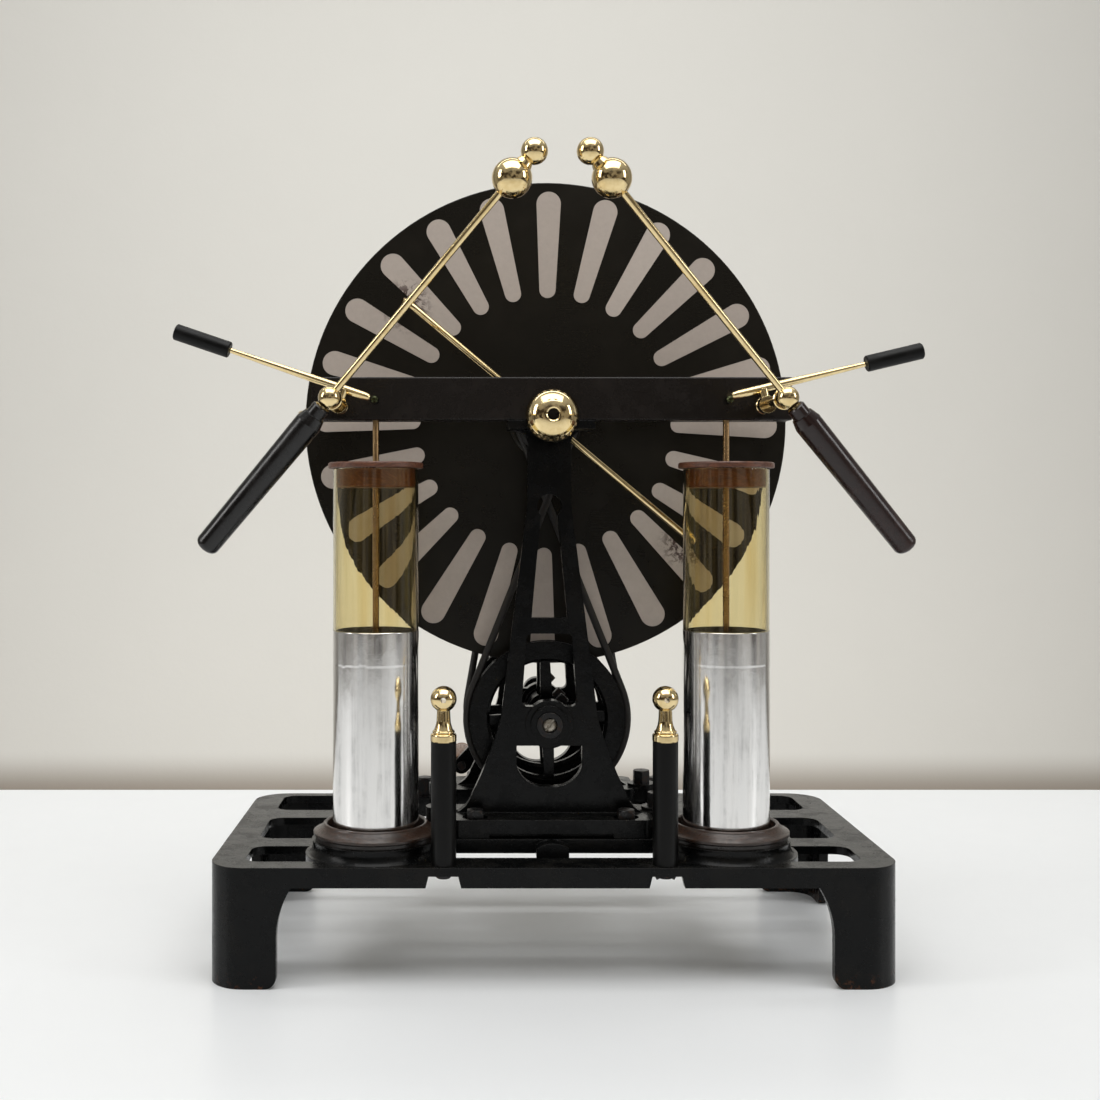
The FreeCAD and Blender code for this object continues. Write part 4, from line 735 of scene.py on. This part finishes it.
finishes = {
    japannedIron(): [
        "base_casting", "front_cross_rail", "rear_cross_rail", "front_upright", "rear_upright",
        "front_drive_wheel", "rear_drive_wheel", "crank_arm",
    ],
    steel("blackened"): [
        "rail_bolts", "upright_bolts", "set_screws", "drive_shaft", "disc_axle", "crank_pin",
        "axle_nut", "shaft_bushes", "terminal_nuts",
    ],
    steel("worn"): ["shaft_end_screw"],
    polishedBrass(): [
        "axle_knob", "left_joint_ball", "right_joint_ball", "left_discharge_rod",
        "right_discharge_rod", "left_spark_balls", "right_spark_balls", "front_neutralizer_rod",
        "rear_neutralizer_rod", "left_conductor", "right_conductor", "terminal_heads",
        "left_lever_rod", "right_lever_rod", "left_collector", "right_collector",
    ],
    agedBrass(): ["jar_rods"],
    ebonite("bar"): ["cross_bar"],
    ebonite("post"): ["terminal_posts", "left_lever_handle", "right_lever_handle"],
    ebonite("black"): ["left_arm_handle"],
    ebonite("brown"): ["right_arm_handle"],
    discEbonite(): ["front_disc", "rear_disc", "front_hub_pulley", "rear_hub_pulley"],
    tinSector(): ["front_sectors", "rear_sectors"],
    amberGlass(): ["left_jar_glass", "right_jar_glass"],
    wood("lid"): ["jar_lids"],
    wood("ring"): ["jar_base_rings"],
    wood("grip"): ["crank_grip"],
    beltLeather(): ["front_belt", "rear_belt"],
}
foilMaterial = jarFoil()
finishes[foilMaterial] = ["jar_inner_foils"]
for material, names in finishes.items():
    for name in names:
        for slot in nodes[name].material_slots:
            slot.material = material
print("finishes given to", sum(len(names) for names in finishes.values()), "CAD nodes")


# Pieces made here

def meshPiece(name, points, faces, material, smooth=True):
    mesh = bpy.data.meshes.new(name)
    mesh.from_pydata(points, [], faces)
    mesh.materials.append(material)
    for face in mesh.polygons:
        face.use_smooth = smooth
    mesh.validate()
    mesh.update()
    piece = bpy.data.objects.new(name, mesh)
    bpy.context.scene.collection.objects.link(piece)
    return piece


def ringFaces(rows, count, start=0):
    faces = []
    for row in range(rows - 1):
        for i in range(count):
            a, b = start + row * count + i, start + row * count + (i + 1) % count
            faces.append((a, b, b + count, a + count))
    return faces


foilWrap = {
    "turns": 288,
    "rows": 200,
    "seamDown": 0.026,      # from the top edge to the lower edge of the upper band
    "seamWave": 0.0012,
    "seamRise": 0.00005,
    "wrinkle": 0.00015,
    "ridgeShare": 0.15,
    "ridgeSharp": 1.6,
    "edgeWave": 0.0007,
    "overlapAngle": 2.2,
    "overlapWidth": 0.5,    # radians
    "overlapRise": 0.00004,
    "sinkShare": 0.95,      # most of the foil's thickness that a wrinkle takes
    "skin": 0.00001,        # inside the size of the CAD foil
    "glassGap": 0.00002,
    "floorGap": 0.0001,
    "foot": 0.0006,
    "corner": 0.003,
    "hole": 0.002,
    "rowGap": 0.0003,
    "seeds": {"left": 3.1, "right": 8.7},
}


def aroundJar(angle, reach, height):
    return Vector((math.cos(angle) * reach, math.sin(angle) * reach, height))


def foilDepth(angle, z, seed):  # how far the foil lies under its outer size, 0 to 1
    ridgeShare = foilWrap["ridgeShare"]
    broad = noise.noise(aroundJar(angle, 3.0, z * 26.0 + seed)) * 0.5 + 0.5
    cells = noise.voronoi(aroundJar(angle, 5.0, z * 60.0 + seed))[0]
    ridges = min(1.0, (cells[1] - cells[0]) * foilWrap["ridgeSharp"])
    return (1 - ridgeShare) * broad + ridgeShare * ridges


def wrappedFoil(side):
    look = foilWrap
    low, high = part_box(side + "_outer_foil")
    glassLow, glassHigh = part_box(side + "_jar_glass")
    centre = (low + high) / 2
    outer = (high.x - low.x) / 2 - look["skin"]
    inner = (glassHigh.x - glassLow.x) / 2 + look["glassGap"]
    seed, turns, rows = look["seeds"][side], look["turns"], look["rows"]
    deepest = (outer - inner) * look["sinkShare"]
    points = []

    def addRing(radius, z):
        for i in range(turns):
            angle = 2 * math.pi * i / turns
            reach = radius(angle) if callable(radius) else radius
            height = z(angle) if callable(z) else z
            x, y = centre.x + reach * math.cos(angle), centre.y + reach * math.sin(angle)
            points.append((x, y, height))

    def topEdge(angle):
        wave = noise.noise(aroundJar(angle, 2.5, seed))
        return high.z - look["edgeWave"] * (0.5 + 0.5 * wave)

    def seamHeight(angle):
        wave = noise.noise(aroundJar(angle, 2.0, seed + 5))
        return high.z - look["seamDown"] + look["seamWave"] * wave

    def wallRadius(z):
        def at(angle):
            depth = look["wrinkle"] * foilDepth(angle, z, seed)
            if z < seamHeight(angle):
                depth += look["seamRise"]
            if (angle - look["overlapAngle"]) % (2 * math.pi) > look["overlapWidth"]:
                depth += look["overlapRise"]
            return outer - min(depth, deepest)
        return at

    addRing(look["hole"], low.z)
    addRing(outer - look["corner"], low.z)
    foot = low.z + look["foot"]
    for row in range(rows - 1):
        z = foot + (high.z - foot) * row / (rows - 1)
        addRing(wallRadius(z), lambda angle, z=z: min(z, topEdge(angle) - look["rowGap"]))
    addRing(wallRadius(high.z), topEdge)
    addRing(inner, topEdge)
    addRing(inner, glassLow.z - look["floorGap"])
    addRing(look["hole"], glassLow.z - look["floorGap"])
    count = len(points) // turns
    faces = ringFaces(count, turns)
    faces.append(tuple(reversed(range(turns))))
    faces.append(tuple(range((count - 1) * turns, count * turns)))
    piece = meshPiece(side + "_wrapped_foil", points, faces, foilMaterial)
    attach(piece, "stand")
    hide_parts(side + "_outer_foil")


for side in ("left", "right"):
    wrappedFoil(side)
print("foil wrapped round the jars")


brushLook = {
    "wires": 54,
    "fan": 0.0026,
    "root": 0.0011,
    "rootShare": 0.85,
    "flare": 1.4,
    "lag": 0.15,  # how far round a wire's tip leans, in radians
    "wire": 0.00009,
    "tipGap": 0.0002,
    "steps": 5,
    "colour": (0.75, 0.52, 0.24),
    "clouds": (400.0, 2.0),
    "gloss": (0.2, 0.4),
}


def brushWire():
    look = brushLook
    material, tree, shader = startMaterial("brushWire")
    film = mottled(tree, *look["clouds"])
    colour = blendColours(tree, film, look["colour"], brassLook["tarnish"])
    rough = spread(tree, film, 0.2, 0.8, *look["gloss"])
    feed(tree, shader, Base_Color=colour, Roughness=rough, Metallic=1.0)
    return material


def wireBrushes(side, end, material):  # end is -1 at the front, 1 at the rear
    look = brushLook
    low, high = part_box(side + "_brushes")
    fan, wire, steps = look["fan"], look["wire"], look["steps"]
    left, right, bottom, top = low.x + fan, high.x - fan, low.z + fan, high.z - fan
    spots = [(left, top), (right, bottom)] if end < 0 else [(right, top), (left, bottom)]
    near, far = (low.y, high.y) if end < 0 else (high.y, low.y)
    rootReach, tipReach = look["root"] * look["rootShare"], fan - look["tipGap"]
    points, faces = [], []
    for x, z in spots:
        for i in range(look["wires"]):
            turn, share = random.uniform(0, 2 * math.pi), math.sqrt(random.random())
            lag = random.uniform(-look["lag"], look["lag"])
            start = len(points)
            for step in range(steps):
                along = step / (steps - 1)
                reach = share * (rootReach * (1 - along) + tipReach * along ** look["flare"])
                angle = turn + lag * along
                wireX, wireZ = x + reach * math.cos(angle), z + reach * math.sin(angle)
                y = near + (far - near) * along
                for corner in range(4):
                    around = math.pi / 2 * corner
                    points.append((wireX + wire * math.cos(around), y, wireZ + wire * math.sin(around)))
            faces += ringFaces(steps, 4, start)
            last = start + 4 * (steps - 1)
            faces.append((start + 3, start + 2, start + 1, start))
            faces.append((last, last + 1, last + 2, last + 3))
    piece = meshPiece(side + "_wire_brushes", points, faces, material)
    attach(piece, side + "_neutralizer")
    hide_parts(side + "_brushes")


wireMaterial = brushWire()
wireBrushes("front", -1, wireMaterial)
wireBrushes("rear", 1, wireMaterial)
print("wire brushes made")


# Table, wall, lights and camera

stageLook = {
    "table": (0.80, 0.815, 0.825),
    "tableX": 1.9,
    "tableY": (-2.2, 0.603),
    "tableThick": 0.04,
    "tableGloss": (0.30, 0.36),
    "wall": (0.675, 0.668, 0.632),
    # painted shadow: the colour the wall takes towards its foot, where the table casts shade, and the
    # heights over which it fades in
    "wallFootShadow": (0.30, 0.265, 0.225),
    "footShadowHeights": (-0.29, -0.41),
    "wallX": 5.0,
    "wallY": 2.6,
    "wallZ": (-1.6, 3.6),
    "wallThick": 0.05,
    "plasterNoise": (40.0, 4.0),
    "plasterBump": (0.002, 0.25),
    "floorNear": -4.0,
    "floorDrop": 0.74,
}


def stageBox(name, low, high, material):
    points = [(x, y, z) for z in (low[2], high[2]) for y in (low[1], high[1]) for x in (low[0], high[0])]
    faces = [(0, 2, 3, 1), (4, 5, 7, 6), (0, 1, 5, 4), (2, 6, 7, 3), (0, 4, 6, 2), (1, 3, 7, 5)]
    meshPiece(name, points, faces, material, smooth=False)


def shaded(colour, share):
    return tuple(share * c for c in colour)


def tablePaint():
    look = stageLook
    material, tree, shader = startMaterial("tablePaint")
    cloud = mottled(tree, 5.0, 1.0)
    colour = blendColours(tree, cloud, look["table"], shaded(look["table"], 0.96))
    rough = spread(tree, cloud, 0.3, 0.7, *look["tableGloss"])
    feed(tree, shader, Base_Color=colour, Roughness=rough, IOR=1.45)
    return material


def wallPaint():
    look = stageLook
    material, tree, shader = startMaterial("wallPaint")
    place = ownPlace(tree)
    # painted shadow: the wall is drawn darker towards its foot, as if in the table's shade
    foot = spread(tree, axes(tree, place)["Z"], *look["footShadowHeights"])
    colour = blendColours(tree, mottled(tree, 1.6, 1.2), look["wall"], shaded(look["wall"], 0.95))
    colour = blendColours(tree, foot, colour, look["wallFootShadow"])
    normal = bump(tree, noiseAt(tree, place, *look["plasterNoise"]), *look["plasterBump"])
    feed(tree, shader, Base_Color=colour, Roughness=0.9, Normal=normal)
    return material


def makeStage():
    look = stageLook
    tableMaterial, wallMaterial = tablePaint(), wallPaint()
    tableX, wallX, wallY = look["tableX"], look["wallX"], look["wallY"]
    near, far = look["tableY"]
    stageBox("table_top", (-tableX, near, -look["tableThick"]), (tableX, far, 0.0), tableMaterial)
    bottom, top = look["wallZ"]
    behind = wallY + look["wallThick"]
    stageBox("back_wall", (-wallX, wallY, bottom), (wallX, behind, top), wallMaterial)
    # the room floor uses the wall's paint, so all of it lies in the painted shadow colour
    floor = -look["floorDrop"]
    floorLow = (-wallX, look["floorNear"], floor - look["wallThick"])
    stageBox("room_floor", floorLow, (wallX, wallY, floor), wallMaterial)


makeStage()

lights = {
    "overhead": {
        "place": (0.0, -0.75, 2.4), "aim": (0, -0.1, 0.1), "size": (2.6, 1.8),
        "watts": 43, "colour": (1.0, 0.995, 0.985),
    },
    "left_window": {
        "place": (-2.2, -0.7, 1.25), "aim": (0, 0, 0.3), "size": (0.6, 1.3),
        "watts": 14, "colour": (1.0, 0.99, 0.98),
    },
    "right_window": {
        "place": (2.2, -0.9, 1.15), "aim": (0, 0, 0.3), "size": (0.5, 1.2),
        "watts": 10, "colour": (0.98, 0.99, 1.0),
    },
    "wall_wash": {
        "place": (0.0, 0.8, 2.3), "aim": (0, 2.6, 0.6), "size": (3.6, 0.6),
        "watts": 29, "colour": (1.0, 0.995, 0.98),
    },
    "wall_low": {
        "place": (0.0, 1.2, -0.5), "aim": (0, 2.6, 0.5), "size": (3.6, 0.4),
        "watts": 19, "colour": (1.0, 0.995, 0.98),
    },
}
for name, light in lights.items():
    lamp = bpy.data.lights.new(name, "AREA")
    lamp.shape, lamp.size, lamp.size_y = "RECTANGLE", *light["size"]
    lamp.energy, lamp.color = light["watts"], light["colour"]
    holder = bpy.data.objects.new(name, lamp)
    holder.location = light["place"]
    direction = Vector(light["aim"]) - Vector(light["place"])
    holder.rotation_euler = direction.to_track_quat("-Z", "Y").to_euler()
    bpy.context.scene.collection.objects.link(holder)

worldLook = {
    "ceiling": (0.62, 0.62, 0.61),
    "back": (0.34, 0.33, 0.31),
    "frontDark": (0.045, 0.034, 0.026),  # furniture and people in the room behind the camera
    "frontLight": (0.40, 0.37, 0.33),
    "clutter": (3.2, 2.0),
    "clutterMix": (0.44, 0.58),
    "sideMix": (-0.35, 0.3),
    "ceilingMix": (0.25, 0.85),
    "strength": 0.8,
}
world = bpy.data.worlds.new("room")
world.use_nodes = True
bpy.context.scene.world = world
sky = world.node_tree
direction = put(sky, "ShaderNodeTexCoord").outputs["Generated"]
parts = axes(sky, direction)
clutter = spread(sky, noiseAt(sky, direction, *worldLook["clutter"]), *worldLook["clutterMix"])
front = blendColours(sky, clutter, worldLook["frontDark"], worldLook["frontLight"])
sides = blendColours(sky, spread(sky, parts["Y"], *worldLook["sideMix"]), front, worldLook["back"])
up = spread(sky, parts["Z"], *worldLook["ceilingMix"])
skyColour = blendColours(sky, up, sides, worldLook["ceiling"])
sky.links.new(skyColour, sky.nodes["Background"].inputs["Color"])
sky.nodes["Background"].inputs["Strength"].default_value = worldLook["strength"]

cameraLook = {
    "place": (-0.0655, -1.173, 0.3552),
    "lens": 45.8,
    "sensor": 36.0,
    "shift": (0.0755, -0.0364),
    "clip": (0.05, 30.0),
}
cameraData = bpy.data.cameras.new("camera")
cameraData.lens, cameraData.sensor_width = cameraLook["lens"], cameraLook["sensor"]
cameraData.shift_x, cameraData.shift_y = cameraLook["shift"]
cameraData.clip_start, cameraData.clip_end = cameraLook["clip"]
camera = bpy.data.objects.new("camera", cameraData)
camera.location = cameraLook["place"]
camera.rotation_euler = (math.pi / 2, 0, 0)
bpy.context.scene.collection.objects.link(camera)
bpy.context.scene.camera = camera
bpy.context.scene.view_settings.view_transform = "Standard"
print("stage, lights and camera set")
